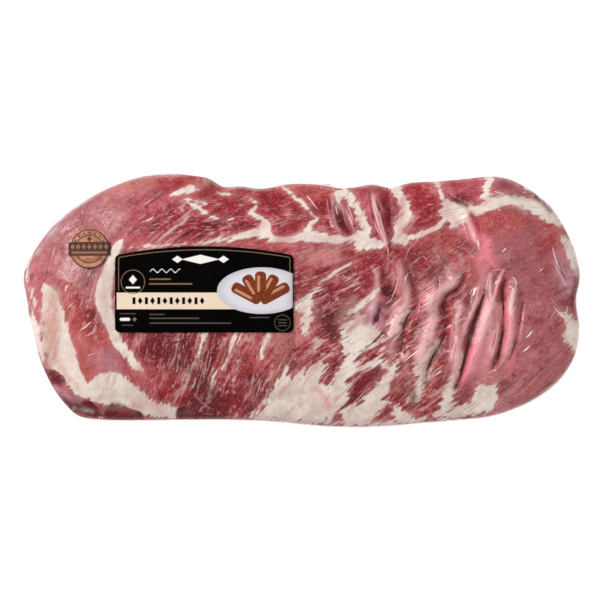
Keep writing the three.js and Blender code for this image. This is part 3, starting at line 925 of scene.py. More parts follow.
# Lean that shows through the fat.
ISLANDS = patches(
    (1.6, 20, -41, 26, -37, 32, -35, 33, -41, 29, -52, 25, -61, 21, -67, 18, -65, 15, -66, 12, -64, 17,
     -57, 21, -50),
    (1.8, 37, -66, 40, -60, 45, -55, 52, -52, 62, -52, 63, -55, 59, -64, 52, -70, 47, -78, 40, -82, 33,
     -85, 36, -79),
    (1.6, 67, -78, 69, -69, 70, -61, 77, -54, 85, -52, 89, -55, 85, -64, 79, -71, 74, -78, 68, -80),
    (2.4, 44, -48, 47, -42, 55, -35, 62, -31, 65, -35, 61, -44, 54, -48, 48, -52),
    (2.6, 62, -35, 68, -29, 76, -26, 81, -31, 78, -41, 71, -47, 65, -45),
    (1, 24, -96, 26, -91, 30, -88, 33, -92, 34, -96),
    (1.4, 52, -93, 59, -89, 65, -84, 69, -81, 72, -88, 74, -93, 67, -96, 55, -96),
)

# Dark patches, most of them at the rim where the side turns under.
DARKS = patches(
    (0.6, -211, -53, -200, -54, -192, -55, -185, -63, -191, -67, -198, -67, -206, -66),
    (0.6, -190, -74, -182, -74, -171, -78, -163, -82, -155, -87, -159, -92, -171, -89, -181, -86, -188,
     -80),
    (0.8, -155, -84, -149, -81, -140, -83, -129, -86, -122, -94, -127, -102, -154, -102),
    (0.8, -100, -84, -88, -85, -75, -89, -66, -91, -69, -102, -99, -102),
    (0.8, 57, -5, 62, -4, 61, -16, 57, -18, 56, -12),
    (1, 62, 11, 70, 11, 74, 8, 74, 3, 66, 3),
)


@dataclass(frozen=True)
class Stroke:
    """A dab of colour along a line, with its strength and the reach over which it fades sideways."""

    tint: Tint
    strength: float
    reach: float
    line: Sequence[Plan]

    PIECES = 5  # straight pieces between two points of its line
    MARGIN = 3.0  # in reaches

    def cover(self, plan: Array) -> Array:
        """How much of its colour lies at plan points.

        Args:
            plan: Points, one a row.

        Returns:
            Shares, up to its strength.
        """
        points = PlanCurve(self.line).spaced(self.PIECES * (len(self.line) - 1))
        near = around(plan, points, self.MARGIN * self.reach)
        result = np.zeros(len(plan))
        distance, _ = line_distance(plan[near], points)
        result[near] = self.strength * np.exp(-((distance / self.reach) ** 2))
        return result


def strokes(tint: Tint, *rows: Row) -> tuple[Stroke, ...]:
    """Strokes of one colour, each a row of its strength, its reach and its line's coordinates."""
    return tuple(Stroke(tint, row[0], row[1], pairs(row[2:])) for row in rows)


# Local colours: stains and bits of membrane, with painted highlights on crests and painted shade in grooves.
STROKES = (
    *strokes(Tint.SINEW,
        (0.9, 7, -195, 4, -195, -15, -195, -31, -197, -46), (0.4, 5, 40, 0, 35, -7, 32, -15),
        (0.4, 5, -152, 24, -155, 4, -153, -14)),
    *strokes(Tint.SUET, (0.6, 4, 153, 78, 164, 79, 175, 75)),
    *strokes(Tint.SCARLET, (0.7, 2.8, -108, 88, -97, 92, -87, 97), (0.5, 1.9, 132, 69, 138, 58, 140, 46)),
    *strokes(Tint.CRIMSON,
        (0.6, 2.4, -80, 79, -73, 84, -64, 90), (0.6, 0.7, -143, -40, -134, -58, -128, -70),
        (0.5, 2.4, -61, -74, -48, -84), (0.6, 2.2, 62, 86, 66, 79, 71, 73),
        (0.4, 4, 33, 72, 37, 62, 41, 55)),
    *strokes(Tint.EMBER,
        (0.4, 2, -186, 0, -182, -14, -175, -32, -170, -52, -166, -62),
        (0.5, 2.4, -168, -23, -171, -35, -172, -44), (0.4, 3.1, 194, 58, 200, 54),
        (0.5, 3, 131, 24, 136, 20, 132, 13)),
    *strokes(Tint.MAUVE,
        (0.7, 3.6, 76, 27, 79, 18, 81, 8), (0.7, 3.4, 110, 5, 103, -3, 102, -10),
        (0.4, 4, 55, 88, 59, 70, 64, 52)),
    *strokes(Tint.CLAY, (0.5, 1.3, 154, -4, 154, -23, 148, -48), (0.55, 4.5, 84, -70, 88, -78, 86, -86)),
    *strokes(Tint.RIND,
        (0.5, 3, -195, -4, -194, -16, -193, -27, -194, -39, -196, -48),
        (0.45, 3, -201, -14, -198, -27, -200, -40), (0.55, 3, -187, -54, -184, -60, -182, -62),
        (0.5, 2, -154, -83, -144, -84, -132, -87), (0.5, 4, -131, -82, -120, -81, -108, -85),
        (0.5, 3.9, 1, 34, 14, 38, 28, 40), (0.5, 2.4, 84, -58, 88, -72), (0.6, 2.4, 68, -9, 74, -4, 79, 0),
        (0.5, 2.4, 112, 22, 118, 20, 114, 14), (0.5, 3.4, 74, -40, 68, -48, 65, -58),
        (0.5, 3, 82, -51, 76, -61, 74, -70), (0.5, 3, -58, 46, -68, 42, -80, 42),
        (0.4, 2.4, -9, 48, -20, 49), (0.55, 3, 78, 81, 79, 70, 76, 60), (0.5, 3, 76, 51, 79, 55),
        (0.35, 3, 114, 74, 118, 65, 126, 57)),
    *strokes(Tint.SALMON,
        (0.6, 2.4, 110, 38, 116, 40, 121, 36), (0.5, 2.6, 106, 48, 106, 40, 106, 34),
        (0.45, 3.5, 8, 26, 4, 16), (0.5, 3, 38, -23, 43, -17, 49, -12)),
    *strokes(Tint.BLUSH,
        (0.5, 3.9, -161, -40, -158, -53), (0.5, 3.1, -127, -53, -121, -64),
        (0.6, 2, 123, -22, 122, -34, 119, -44, 116, -54), (0.35, 2, 80, 30, 78, 20, 76, 10),
        (0.5, 2, 204, 54, 202, 44, 206, 32), (0.5, 3, 12, -69, 18, -76, 22, -84),
        (0.5, 3.5, 109, 93, 114, 87, 117, 79), (0.45, 4, -122, 100, -113, 100, -103, 99),
        (0.45, 4, -39, -75, -35, -80, -31, -86)),
    *strokes(Tint.LILAC,
        (0.5, 1.3, 28, 76, 34, 68, 40, 56), (0.6, 2.2, 54, 0, 54, -9, 52, -18),
        (0.65, 1.9, 124, 35, 126, 24, 120, 16, 112, 9), (0.5, 2.8, 200, 38, 204, 28, 208, 20),
        (0.85, 3, -194, -69, -188, -72, -182, -76, -176, -79), (0.4, 5, -155, -41, -151, -48, -144, -52)),
    # Blossom and magenta strokes along the folds' crests are painted highlights.
    *strokes(Tint.BLOSSOM,
        (0.5, 1.5, 56, 82, 58, 69, 64, 54, 66, 46), (0.95, 4, 146, -3, 141, -18, 137, -32),
        (0.6, 1.2, 148, 20, 148, 8, 147, -2), (0.5, 1.1, 158, 23, 154, 16, 152, 5),
        (0.7, 3.6, 103, -16, 99, -31, 93, -45), (0.6, 3, 74, -20, 71, -29, 69, -40),
        (0.5, 2.6, 119, -40, 121, -50, 117, -62), (0.5, 2.2, 162, -30, 160, -40, 157, -48)),
    *strokes(Tint.MAGENTA,
        (0.7, 1.7, 94, 4, 92, -6, 90, -14), (0.65, 1.6, 116, -20, 118, -28, 116, -38),
        (0.95, 3.8, 138, -38, 132, -51, 126, -62), (0.5, 1.4, 145, -22, 142, -38, 136, -48),
        (0.85, 3, 162, -12, 162, -26, 158, -40), (0.65, 3.5, 139, 49, 144, 38, 150, 27)),
    # Plum and gristle strokes, and the maroon ones in the folds, run along grooves as painted shade.
    *strokes(Tint.PLUM, (0.6, 2.4, 132, -17, 128, -27, 126, -36), (0.5, 2.6, 131, -69, 128, -74, 124, -78)),
    *strokes(Tint.MAROON,
        (0.45, 3.1, -31, 87, -25, 76), (0.5, 0.9, -216, 30, -214, 22, -210, 12),
        (0.55, 0.8, -204, -26, -202, -35, -201, -44), (0.5, 1.6, -186, -80, -174, -84, -160, -88),
        (0.5, 3.9, -112, -40, -97, -47, -86, -56), (0.6, 5, -83, -59, -75, -67, -70, -77),
        (0.6, 2.5, 22, 76, 26, 68, 32, 60), (0.65, 1, 53, 86, 54, 73, 58, 58),
        (0.6, 1.4, 62, 80, 69, 68, 70, 57), (0.65, 2.7, 60, -3, 66, -5),
        (0.6, 1.9, 120, 80, 124, 76, 130, 75), (0.5, 1.9, 218, 26, 218, 14, 217, 5),
        (0.6, 1.1, 204, -9, 209, -12), (0.8, 1.6, 184, 82, 191, 76, 196, 70),
        (0.5, 3, 126, 46, 132, 43, 136, 38), (0.55, 2, 66, 68, 68, 60), (0.5, 2.6, 28, 65, 32, 58, 36, 56),
        (0.6, 3.5, 159, 90, 165, 87, 171, 84)),
    *strokes(Tint.GRISTLE, (0.5, 3.4, 87, 34, 88, 26, 90, 16), (0.45, 2.6, 109, -35, 104, -44)),
    *strokes(Tint.CHAR, (0.5, 2, -149, -83, -143, -82, -134, -86), (0.4, 3, 88, -69, 87, -82)),
    # White strokes: painted highlights of the film, on a crest and at the rim.
    *strokes(Tint.PAPER,
        (0.6, 1.6, 166, 8, 164, -1, 162, -9), (0.45, 1, -179, -85, -171, -87, -163, -88, -154, -90)),
)


@dataclass(frozen=True)
class Thread:
    """A thin pointed thread along a line: its colour and its greatest width."""

    tint: Tint
    width: float
    line: Sequence[Plan]


def threads(tint: Tint, *rows: Row) -> tuple[Thread, ...]:
    """Threads of one colour, each a row of its width and its line's coordinates in half millimetres."""
    return tuple(Thread(tint, row[0], pairs(row[1:], 0.5)) for row in rows)


WIDEST_SHARP = 3.0  # reach of the widest crest that has a painted highlight line
SHALLOWEST_DARK = -3.0  # height of the shallowest groove whose cleft gets the darkest painted shade
FOLD_PIECES = 14  # straight pieces of a fold's line that its threads are cut from
NARROWEST = 0.8  # width of the thread along the lowest fold
WIDENING = 0.3  # growth of that width for each millimetre of a fold's height


def fold_threads(drawn: Sequence[Fold]) -> tuple[Thread, ...]:
    """Painted shade as dark threads in the grooves, and painted highlight as pale threads along sharp
    crests.

    Args:
        drawn: Grooves and crests.

    Returns:
        Two overlapping threads for each groove and each narrow crest.
    """
    made = []
    for fold in drawn:
        crest = fold.height > 0
        if crest and fold.reach > WIDEST_SHARP:
            continue
        # Painted shade in the grooves' clefts, painted highlight along the crests.
        cleft = Tint.GRISTLE if fold.height < SHALLOWEST_DARK else Tint.MAROON
        tint = Tint.BLUSH if crest else cleft
        points = PlanCurve(fold.line).spaced(FOLD_PIECES)
        width = NARROWEST + WIDENING * abs(fold.height)
        made += [Thread(tint, width, points[1:8]), Thread(tint, width, points[6:14])]
    return tuple(made)


# Threads of fat and dark bits at the rim, beside the folds' painted shade and highlight; many more are
# scattered.
THREADS = (
    *fold_threads(FOLDS[:-1] + CREASES),
    # Many blossom threads lie along crests of folds and creases, as painted highlights.
    *threads(Tint.BLOSSOM,
        (0.8, -349, -15, -344, -4, -341, 6), (0.8, -339, -89, -328, -84, -319, -81),
        (1, 172, -78, 183, -72, 194, -67), (1, 295, 45, 294, 32, 294, 17), (1.2, 317, 48, 309, 37, 305, 23),
        (0.7, 281, -125, 292, -120, 303, -119), (0.8, 322, 1, 328, -4, 334, 1),
        (1, 73, 146, 79, 133, 81, 117), (1.7, 123, 144, 124, 128, 128, 113, 133, 97),
        (1.3, 113, 127, 117, 113, 124, 100, 128, 91), (1.3, 113, 164, 114, 152, 115, 139),
        (1.6, 133, 91, 135, 79, 136, 68), (1.6, 73, 141, 76, 131, 79, 120, 81, 109),
        (1.6, 54, 152, 55, 142, 57, 133), (1.3, 188, 70, 193, 67, 199, 61),
        (1.4, 180, 2, 190, 13, 201, 20, 215, 31), (1.6, 333, 20, 331, 4, 330, -12, 328, -28),
        (1.5, 296, 46, 294, 28, 292, 7, 295, -7), (1.8, 319, 46, 309, 31, 303, 15, 301, -2, 303, -17),
        (1.2, 295, 46, 306, 48, 317, 48), (1, 314, -79, 325, -72, 334, -67),
        (1.2, 207, -119, 215, -114, 223, -109), (0.9, 220, -83, 229, -79, 240, -78),
        (1.2, 153, 45, 149, 24, 142, 6, 136, -9), (1.4, -421, 37, -420, 29, -423, 23),
        (1.2, -357, -172, -345, -176, -330, -176, -316, -181), (1.2, -325, -177, -319, -183, -306, -182)),
    *threads(Tint.BLUSH,
        (0.8, -297, 114, -292, 127, -284, 141), (1.5, 281, 61, 289, 54, 294, 46),
        (1.1, 270, -124, 279, -116, 290, -109), (1, 270, -131, 278, -125, 287, -122),
        (2, 245, -46, 242, -67, 238, -86, 234, -103), (1, 232, 39, 242, 51, 246, 62),
        (1, 238, 31, 249, 48, 254, 61)),
    *threads(Tint.SUET,
        (1.5, -246, 124, -237, 127, -229, 133), (1.6, -350, -48, -339, -42, -331, -35, -325, -29),
        (1, -341, -57, -328, -51, -320, -42), (1.4, -371, 13, -368, 20, -364, 26),
        (1.2, -419, 28, -418, 34, -416, 39), (1.1, 139, -12, 149, -2, 160, 6),
        (1, 109, 43, 117, 50, 125, 54), (1.6, 220, -48, 232, -40, 245, -32, 259, -26),
        (1.1, 183, -6, 196, 2, 210, 12), (1.6, 157, -98, 172, -86, 188, -75, 205, -62),
        (1.2, 210, -116, 216, -111, 221, -108), (1.3, 262, 7, 267, 17, 272, 23),
        (1.6, 330, 39, 334, 31, 338, 23), (1, 338, 23, 333, 13, 330, 2),
        (0.7, 287, -116, 297, -111, 308, -108), (1.4, -2, 174, 10, 163, 20, 150, 29, 138),
        (0.9, 70, 153, 76, 141, 81, 124), (1.2, 295, 185, 305, 180, 312, 180),
        (1, 300, 172, 311, 169, 320, 166), (2.2, 56, 177, 57, 168, 62, 155),
        (1.8, 183, -13, 191, -8, 201, -2, 213, 6), (2.4, 272, 23, 270, 13, 267, 4),
        (2.2, 331, 37, 336, 28, 333, 17), (2.2, 168, 45, 163, 34, 160, 26),
        (2, -427, 48, -430, 39, -434, 31), (1.3, -368, 26, -369, 17, -368, 12),
        (1.2, -368, -15, -363, -9, -357, -2)),
    *threads(Tint.MAROON,
        (1, 174, 176, 182, 166, 193, 160, 205, 157), (1.2, -380, -146, -371, -150, -361, -154, -349, -156),
        (1.4, 10, -188, 18, -187, 26, -184), (1.2, 358, 174, 368, 166, 375, 157, 385, 146),
        (1.3, 429, 17, 434, 24, 435, 34), (1, 407, -18, 413, -21, 419, -20),
        (1.4, -418, 37, -423, 45, -423, 54), (0.9, -430, 15, -430, 6, -432, -4),
        (0.9, -430, -7, -429, -17, -429, -29), (1, 153, -169, 158, -177, 161, -185),
        (1, -68, -178, -56, -182, -42, -184), (1, -24, -182, -14, -184, -2, -184),
        (1, 246, -184, 258, -184, 272, -184)),
    *threads(Tint.CRIMSON,
        (1.3, 404, 120, 410, 113, 418, 105), (1.2, -424, 13, -423, 7, -421, 1),
        (1.2, -410, -73, -410, -83, -410, -94), (1.2, -434, 51, -435, 43, -434, 37),
        (1, 84, -153, 79, -164, 76, -176)),
    *threads(Tint.SCARLET, (1, -349, -179, -336, -181, -322, -181)),
    *threads(Tint.CHAR,
        (0.9, 65, 174, 70, 169, 76, 164), (0.7, 168, -153, 176, -149, 183, -150),
        (0.7, 163, -163, 172, -160, 182, -163, 190, -160), (0.8, 38, -174, 50, -180, 64, -182)),
    *threads(Tint.RIND, (1.3, 176, 91, 169, 81, 164, 70, 161, 59)),
    *threads(Tint.BRICK, (1.2, 158, -179, 169, -180, 182, -180)),
)


# Sharp creases of the film, as white raised threads that stand for their glints: painted highlights.
GLINTS = (
    *threads(Tint.PAPER,
        (1.2, 312, 75, 317, 79, 320, 83), (1.3, 345, -81, 352, -76, 358, -70),
        (1.3, 350, -59, 357, -53, 361, -46), (1.6, 275, 95, 276, 91, 278, 84),
        (1, 256, 139, 259, 133, 260, 127), (0.8, 372, 45, 375, 48, 379, 51),
        (0.8, 393, 86, 397, 70, 402, 56, 410, 45), (0.8, 394, -9, 407, -20, 418, -17, 416, -6),
        (0.8, 292, 37, 290, 24, 290, 12), (0.8, 113, 164, 117, 146, 124, 125),
        (1, 275, 94, 276, 87, 279, 79)),
    *threads(Tint.RIND,
        (0.9, 95, 179, 102, 181, 108, 182), (0.9, 32, 183, 42, 183, 51, 180),
        (0.8, 67, 177, 76, 177, 86, 178)),
)

# Where the film stands off the rim or is drawn white.
VEILS = (
    *strokes(Tint.PAPER,
        (0.8, 1.5, -216, 22, -215, 30, -210, 36, -202, 44, -196, 54, -188, 65, -176, 74, -158, 86, -147, 92,
         -127, 98, -108, 100, -96, 100), (0.35, 1, -216, 8, -214, -12, -210, -31, -205, -44),
        (0.35, 1, 150, -93, 172, -86, 192, -76, 206, -62),
        (0.25, 1, -162, -92, -131, -94, -96, -94, -64, -94),
        (0.5, 1.1, -76, 94, -60, 91, -36, 88, -13, 91, 14, 92, 26, 90),
        (0.5, 1.1, 156, -87, 172, -82, 188, -74, 200, -64), (0.4, 1, 154, 97, 172, 92, 192, 78, 204, 62),
        (0.5, 1.1, -56, -94, -17, -95, 22, -96, 62, -96, 94, -95)),
)


class GrainField:
    """Coordinates that run along and across the muscle's grain, fitted to the zones' angles."""

    SPACING = 2.0
    HALF = (240.0, 120.0)
    SOFTENING = 6  # rounds of averaging

    def __init__(self) -> None:
        """Solves for both coordinates on a plan grid."""
        self.xs = np.arange(-self.HALF[0], self.HALF[0] + 1, self.SPACING)
        self.ys = np.arange(-self.HALF[1], self.HALF[1] + 1, self.SPACING)
        x, y = np.meshgrid(self.xs, self.ys)
        plan = np.column_stack([x.ravel(), y.ravel()])
        weights = np.stack([zone.weight(plan) for zone in ZONES])
        angles = np.array([zone.grain for zone in ZONES])
        angle = np.radians(angles @ weights / weights.sum(0)).reshape(x.shape)
        for _ in range(self.SOFTENING):
            angle = self._soften(angle)
        self.angle = angle
        self.along = self._potential(np.cos(angle), np.sin(angle))
        self.across = self._potential(-np.sin(angle), np.cos(angle))

    @staticmethod
    def _soften(values: Array) -> Array:
        """Averages each value of a grid with its four neighbours.

        Args:
            values: The grid's values.

        Returns:
            The averages.
        """
        padded = np.pad(values, 1, mode="edge")
        beside = padded[:-2, 1:-1] + padded[2:, 1:-1] + padded[1:-1, :-2] + padded[1:-1, 2:]
        return (values + beside) / 5

    def _potential(self, slope_x: Array, slope_y: Array) -> Array:
        """The values whose slopes come closest to the wanted ones, by a mirrored Fourier solve.

        Args:
            slope_x: Wanted slope along X at each place.
            slope_y: Wanted slope along Y at each place.

        Returns:
            The values, in millimetres.
        """
        step_x = self.SPACING * (slope_x[:, 1:] + slope_x[:, :-1]) / 2
        step_y = self.SPACING * (slope_y[1:, :] + slope_y[:-1, :]) / 2
        source = np.diff(np.pad(step_x, ((0, 0), (1, 1))), axis=1)
        source += np.diff(np.pad(step_y, ((1, 1), (0, 0))), axis=0)
        mirrored = np.block([[source, source[:, ::-1]], [source[::-1], source[::-1, ::-1]]])
        rows, columns = mirrored.shape
        eigen_y = 2 * np.cos(2 * np.pi * np.arange(rows) / rows) - 2
        eigen_x = 2 * np.cos(2 * np.pi * np.arange(columns) / columns) - 2
        eigen = eigen_y[:, None] + eigen_x[None, :]
        eigen[0, 0] = 1.0
        spectrum = np.fft.fft2(mirrored) / eigen
        spectrum[0, 0] = 0.0
        return np.real(np.fft.ifft2(spectrum))[: rows // 2, : columns // 2]

    def sample(self, values: Array, plan: Array) -> Array:
        """Grid values at plan points.

        Args:
            values: A value for each place of the grid.
            plan: Points, one a row.

        Returns:
            The value at each point.
        """
        i = np.clip((plan[:, 0] - self.xs[0]) / self.SPACING, 0, len(self.xs) - 1.001)
        j = np.clip((plan[:, 1] - self.ys[0]) / self.SPACING, 0, len(self.ys) - 1.001)
        i0, j0 = i.astype(int), j.astype(int)
        s, t = i - i0, j - j0
        low = between(values[j0, i0], values[j0, i0 + 1], s)
        high = between(values[j0 + 1, i0], values[j0 + 1, i0 + 1], s)
        return between(low, high, t)


@dataclass
class Marbling:
    """Works out the lean, the fat and the grain at any point of the meat."""

    form: RackForm
    grain: GrainField = field(default_factory=GrainField)
    far: float = 9.0  # depths are kept within this many millimetres
    warps: tuple[PatchyNoise, PatchyNoise] = (PatchyNoise(Seed.STIR_X), PatchyNoise(Seed.STIR_Y))
    turn: float = 0.6  # each layer of noise lies turned by this much from the last
    lean_stir: Sequence[Plan] = ((14, 3.5), (5, 2.2), (2.2, 1.2))  # lump size and reach of each layer
    fat_stir: Sequence[Plan] = ((9, 1.0), (3.5, 0.8))
    wash_stir: Sequence[Plan] = ((6, 0.8), (2.4, 0.5))
    dark_stir: Sequence[Plan] = ((7, 1.6), (3, 1.0))
    bone_overlap: float = 1.5  # by which a bone is wider than the rib's flat crest on either side

    def stirred(self, plan: Array, sizes: Sequence[Plan]) -> Array:
        """Plan points moved about by noise, so that no field keeps a smooth or straight border.

        Args:
            plan: Points, one a row.
            sizes: For each layer of noise, the size of its lumps and how far it moves a point.

        Returns:
            The moved points.
        """
        moved = plan.copy()
        for k, (lump, reach) in enumerate(sizes):
            turn = self.turn * (k + 1)
            x = (plan[:, 0] * math.cos(turn) - plan[:, 1] * math.sin(turn)) / lump
            y = (plan[:, 0] * math.sin(turn) + plan[:, 1] * math.cos(turn)) / lump
            moved += reach * np.column_stack([noise(x, y) for noise in self.warps])
        return moved

    def lean(self, plan: Array) -> tuple[Array, Array]:
        """The lean's colour and how streaky it is.

        Args:
            plan: Points, one a row.

        Returns:
            Linear colours, one a row, and streak strengths.
        """
        stirred = self.stirred(plan, self.lean_stir)
        weights = np.stack([zone.weight(stirred) for zone in ZONES])
        weights /= weights.sum(0)
        colours = np.array([zone.tint.linear for zone in ZONES])
        streaks = np.array([zone.streaks for zone in ZONES])
        return weights.T @ colours, streaks @ weights

    def fat(self, plan: Array) -> tuple[Array, Array]:
        """How deep points lie in fat, and how ragged its edge is there.

        Args:
            plan: Points, one a row.

        Returns:
            Depth inside the fat (negative outside), and the edge's raggedness.
        """
        depth = np.full(len(plan), -self.far)
        ragged = np.ones(len(plan))
        stirred = self.stirred(plan, self.fat_stir)
        for part in SEAMS + PATCHES:
            own = part.depth(stirred)
            deeper = own > depth
            depth[deeper] = own[deeper]
            ragged[deeper] = part.ragged
        for island in ISLANDS:
            outside = -island.depth(stirred)
            shallower = outside < depth
            depth[shallower] = outside[shallower]
            ragged[shallower] = island.ragged
        return depth, ragged

    def wash(self, plan: Array) -> Array:
        """The strokes laid over one another.

        Args:
            plan: Points, one a row.

        Returns:
            Linear colours, one a row, with how much they cover as the alpha.
        """
        stirred = self.stirred(plan, self.wash_stir)
        colour = np.zeros((len(plan), 3))
        cover = np.zeros(len(plan))
        for stroke in STROKES:
            own = stroke.cover(stirred)
            cover = own + cover * (1 - own)
            share = (own / np.maximum(cover, 1e-6))[:, None]
            colour = between(colour, np.array(stroke.tint.linear[:3]), share)
        return np.column_stack([colour, cover])

    def dark(self, plan: Array) -> Array:
        """How deep points lie in the dark bits of the rim, negative outside."""
        stirred = self.stirred(plan, self.dark_stir)
        return np.max([part.depth(stirred) for part in DARKS], axis=0)

    def bones(self, shell: Shell) -> Array:
        """How deep the points of the bone side lie on a rib bone.

        Args:
            shell: The mesh.

        Returns:
            Depths, negative between ribs.
        """
        pitch = self.form.length / self.form.rib_count
        from_middle = np.abs(np.mod(shell.rib_share * self.form.rib_count, 1.0) - 0.5) * pitch
        return self.form.rib_flat * pitch / 2 + self.bone_overlap - from_middle


# --- Shader expressions ---

Operand = Union["Value", float]
Ink = Union["Value", Tint, Colour]


class Value:
    """A socket of a node tree that takes part in Python expressions."""

    def __init__(self, tree: "Nodes", socket: NodeSocket) -> None:
        """Wraps a socket of a tree."""
        self.tree = tree
        self.socket = socket

    def _math(self, operation: str, *others: Operand) -> "Value":
        """A Math node of this value and others."""
        inputs = dict(enumerate((self, *others)))
        return self.tree.add("ShaderNodeMath", {"operation": operation}, inputs)

    def __add__(self, other: Operand) -> "Value":
        """The sum."""
        return self._math("ADD", other)

    __radd__ = __add__

    def __sub__(self, other: Operand) -> "Value":
        """The difference."""
        return self._math("SUBTRACT", other)

    def __rsub__(self, other: Operand) -> "Value":
        """The difference from a number."""
        return self * -1.0 + other

    def __mul__(self, other: Operand) -> "Value":
        """The product."""
        return self._math("MULTIPLY", other)

    __rmul__ = __mul__

    def __truediv__(self, other: Operand) -> "Value":
        """The quotient."""
        return self._math("DIVIDE", other)

    def __rtruediv__(self, other: Operand) -> "Value":
        """The quotient of a number by it."""
        return self.tree.add("ShaderNodeMath", {"operation": "DIVIDE"}, {0: other, 1: self})

    def __neg__(self) -> "Value":
        """The negative."""
        return self * -1.0

    def __abs__(self) -> "Value":
        """The size without its sign."""
        return self._math("ABSOLUTE")

    def wrapped(self, period: float) -> "Value":
        """The value less as many whole periods as leave it between 0 and one."""
        return self._math("FLOORED_MODULO", period)

    def most(self, other: Operand) -> "Value":
        """The larger of two values."""
        return self._math("MAXIMUM", other)

    def least(self, other: Operand) -> "Value":
        """The smaller of two values."""
        return self._math("MINIMUM", other)

    def sine(self) -> "Value":
        """The sine of an angle in radians."""
        return self._math("SINE")

    def with_side(self, other: "Value") -> "Value":
        """The long side of a right-angled triangle on this value and another."""
        return (self * self + other * other)._math("SQRT")

    def step(self, low: float, high: float) -> "Value":
        """A smooth step.

        Args:
            low: Where it starts.
            high: Where it ends, which may be below low for a falling step.

        Returns:
            A value from 0 to 1.
        """
        rising = low < high
        ends = (low, high, 0.0, 1.0) if rising else (high, low, 1.0, 0.0)
        inputs = dict(enumerate((self, *ends)))
        return self.tree.add("ShaderNodeMapRange", {"interpolation_type": "SMOOTHSTEP"}, inputs)


class Nodes:
    """A material's node tree, with one way to add a node and short ways for the usual ones."""

    def __init__(self, name: str) -> None:
        """Starts an empty material.

        Args:
            name: Its name.
        """
        self.material = bpy.data.materials.new(name)
        self.material.use_nodes = True
        self.tree = self.material.node_tree
        self.tree.nodes.clear()

    def add(self, kind: str, settings: dict[str, Any], inputs: dict[Any, Any], output: Any = 0) -> Value:
        """Adds a node.

        Args:
            kind: The node's type.
            settings: Its properties, set before its sockets.
            inputs: Values or links for its sockets, by index or name.
            output: Which output to give back, by index or name.

        Returns:
            That output.
        """
        node = self.tree.nodes.new(kind)
        for key, value in settings.items():
            setattr(node, key, value)
        for key, value in inputs.items():
            if isinstance(value, Value):
                self.tree.links.new(value.socket, node.inputs[key])
            else:
                node.inputs[key].default_value = value.linear if isinstance(value, Tint) else value
        return Value(self, node.outputs[output] if node.outputs else None)

    def attribute(self, name: str, output: str = "Fac") -> Value:
        """A value stored on the mesh's points."""
        return self.add("ShaderNodeAttribute", {"attribute_name": name}, {}, output)

    def split(self, vector: Value) -> tuple[Value, Value, Value]:
        """The three parts of a vector."""
        node = self.add("ShaderNodeSeparateXYZ", {}, {0: vector}).socket.node
        return tuple(Value(self, socket) for socket in node.outputs)

    def vector(self, x: Operand, y: Operand, z: Operand = 0.0) -> Value:
        """A vector from three parts."""
        return self.add("ShaderNodeCombineXYZ", {}, {0: x, 1: y, 2: z})

    def plan(self) -> tuple[Value, Value, Value]:
        """The object's own coordinates, in millimetres."""
        inputs = {0: self.add("ShaderNodeTexCoord", {}, {}, "Object"), "Scale": 1 / MM}
        return self.split(self.add("ShaderNodeVectorMath", {"operation": "SCALE"}, inputs))

    def noise(self, place: Value, scale: float = 1.0, detail: float = 2.0, rough: float = 0.5) -> Value:
        """Smooth noise around 0.5 at a vector, with finer layers on top and how strong they are."""
        inputs = {"Vector": place, "Scale": scale, "Detail": detail, "Roughness": rough}
        return self.add("ShaderNodeTexNoise", {}, inputs)

    def lumps(self, place: Sequence[Value], size: float, detail: float, rough: float = 0.5) -> Value:
        """The same at X, Y and Z in millimetres, with lumps of a size in millimetres."""
        x, y, z = place
        return self.noise(self.vector(x / size, y / size, z / size), 1.0, detail, rough)

    def mix(self, factor: Operand, first: Ink, second: Ink) -> Value:
        """A mix of two colours, with the factor as the share of the second."""
        settings = {"data_type": "RGBA", "clamp_factor": True}
        return self.add("ShaderNodeMix", settings, {0: factor, 6: first, 7: second}, 2)

    def bump(self, height: Value, distance: float, strength: float = 1.0) -> Value:
        """A normal from a height in units of the distance, in metres."""
        inputs = {"Height": height, "Distance": distance, "Strength": strength}
        return self.add("ShaderNodeBump", {}, inputs)

    def principled(self, **sockets: Any) -> Value:
        """The usual surface shader; a socket's spaces are written as underscores."""
        inputs = {name.replace("_", " "): value for name, value in sockets.items()}
        return self.add("ShaderNodeBsdfPrincipled", {}, inputs)

    def surface(self, shader: Value) -> Material:
        """Ends the tree with its surface shader and gives the material."""
        self.add("ShaderNodeOutputMaterial", {}, {"Surface": shader})
        return self.material


# --- Finishes ---


@dataclass(frozen=True)
class Weave:
    """Noise drawn out along the grain: size of its streaks, its place, its finer layers, their strength."""

    length: float
    width: float
    shift: float
    detail: float
    rough: float

    def noise(self, t: Nodes, grain: Value) -> Value:
        """The noise in a tree.

        Args:
            t: The tree.
            grain: Coordinates along and across the grain, and height.

        Returns:
            Values around zero.
        """
        along, across, lift = t.split(grain)
        place = t.vector(along / self.length + self.shift, across / self.width, lift / (3 * self.width))
        return t.noise(place, 1.0, self.detail, self.rough) - 0.5


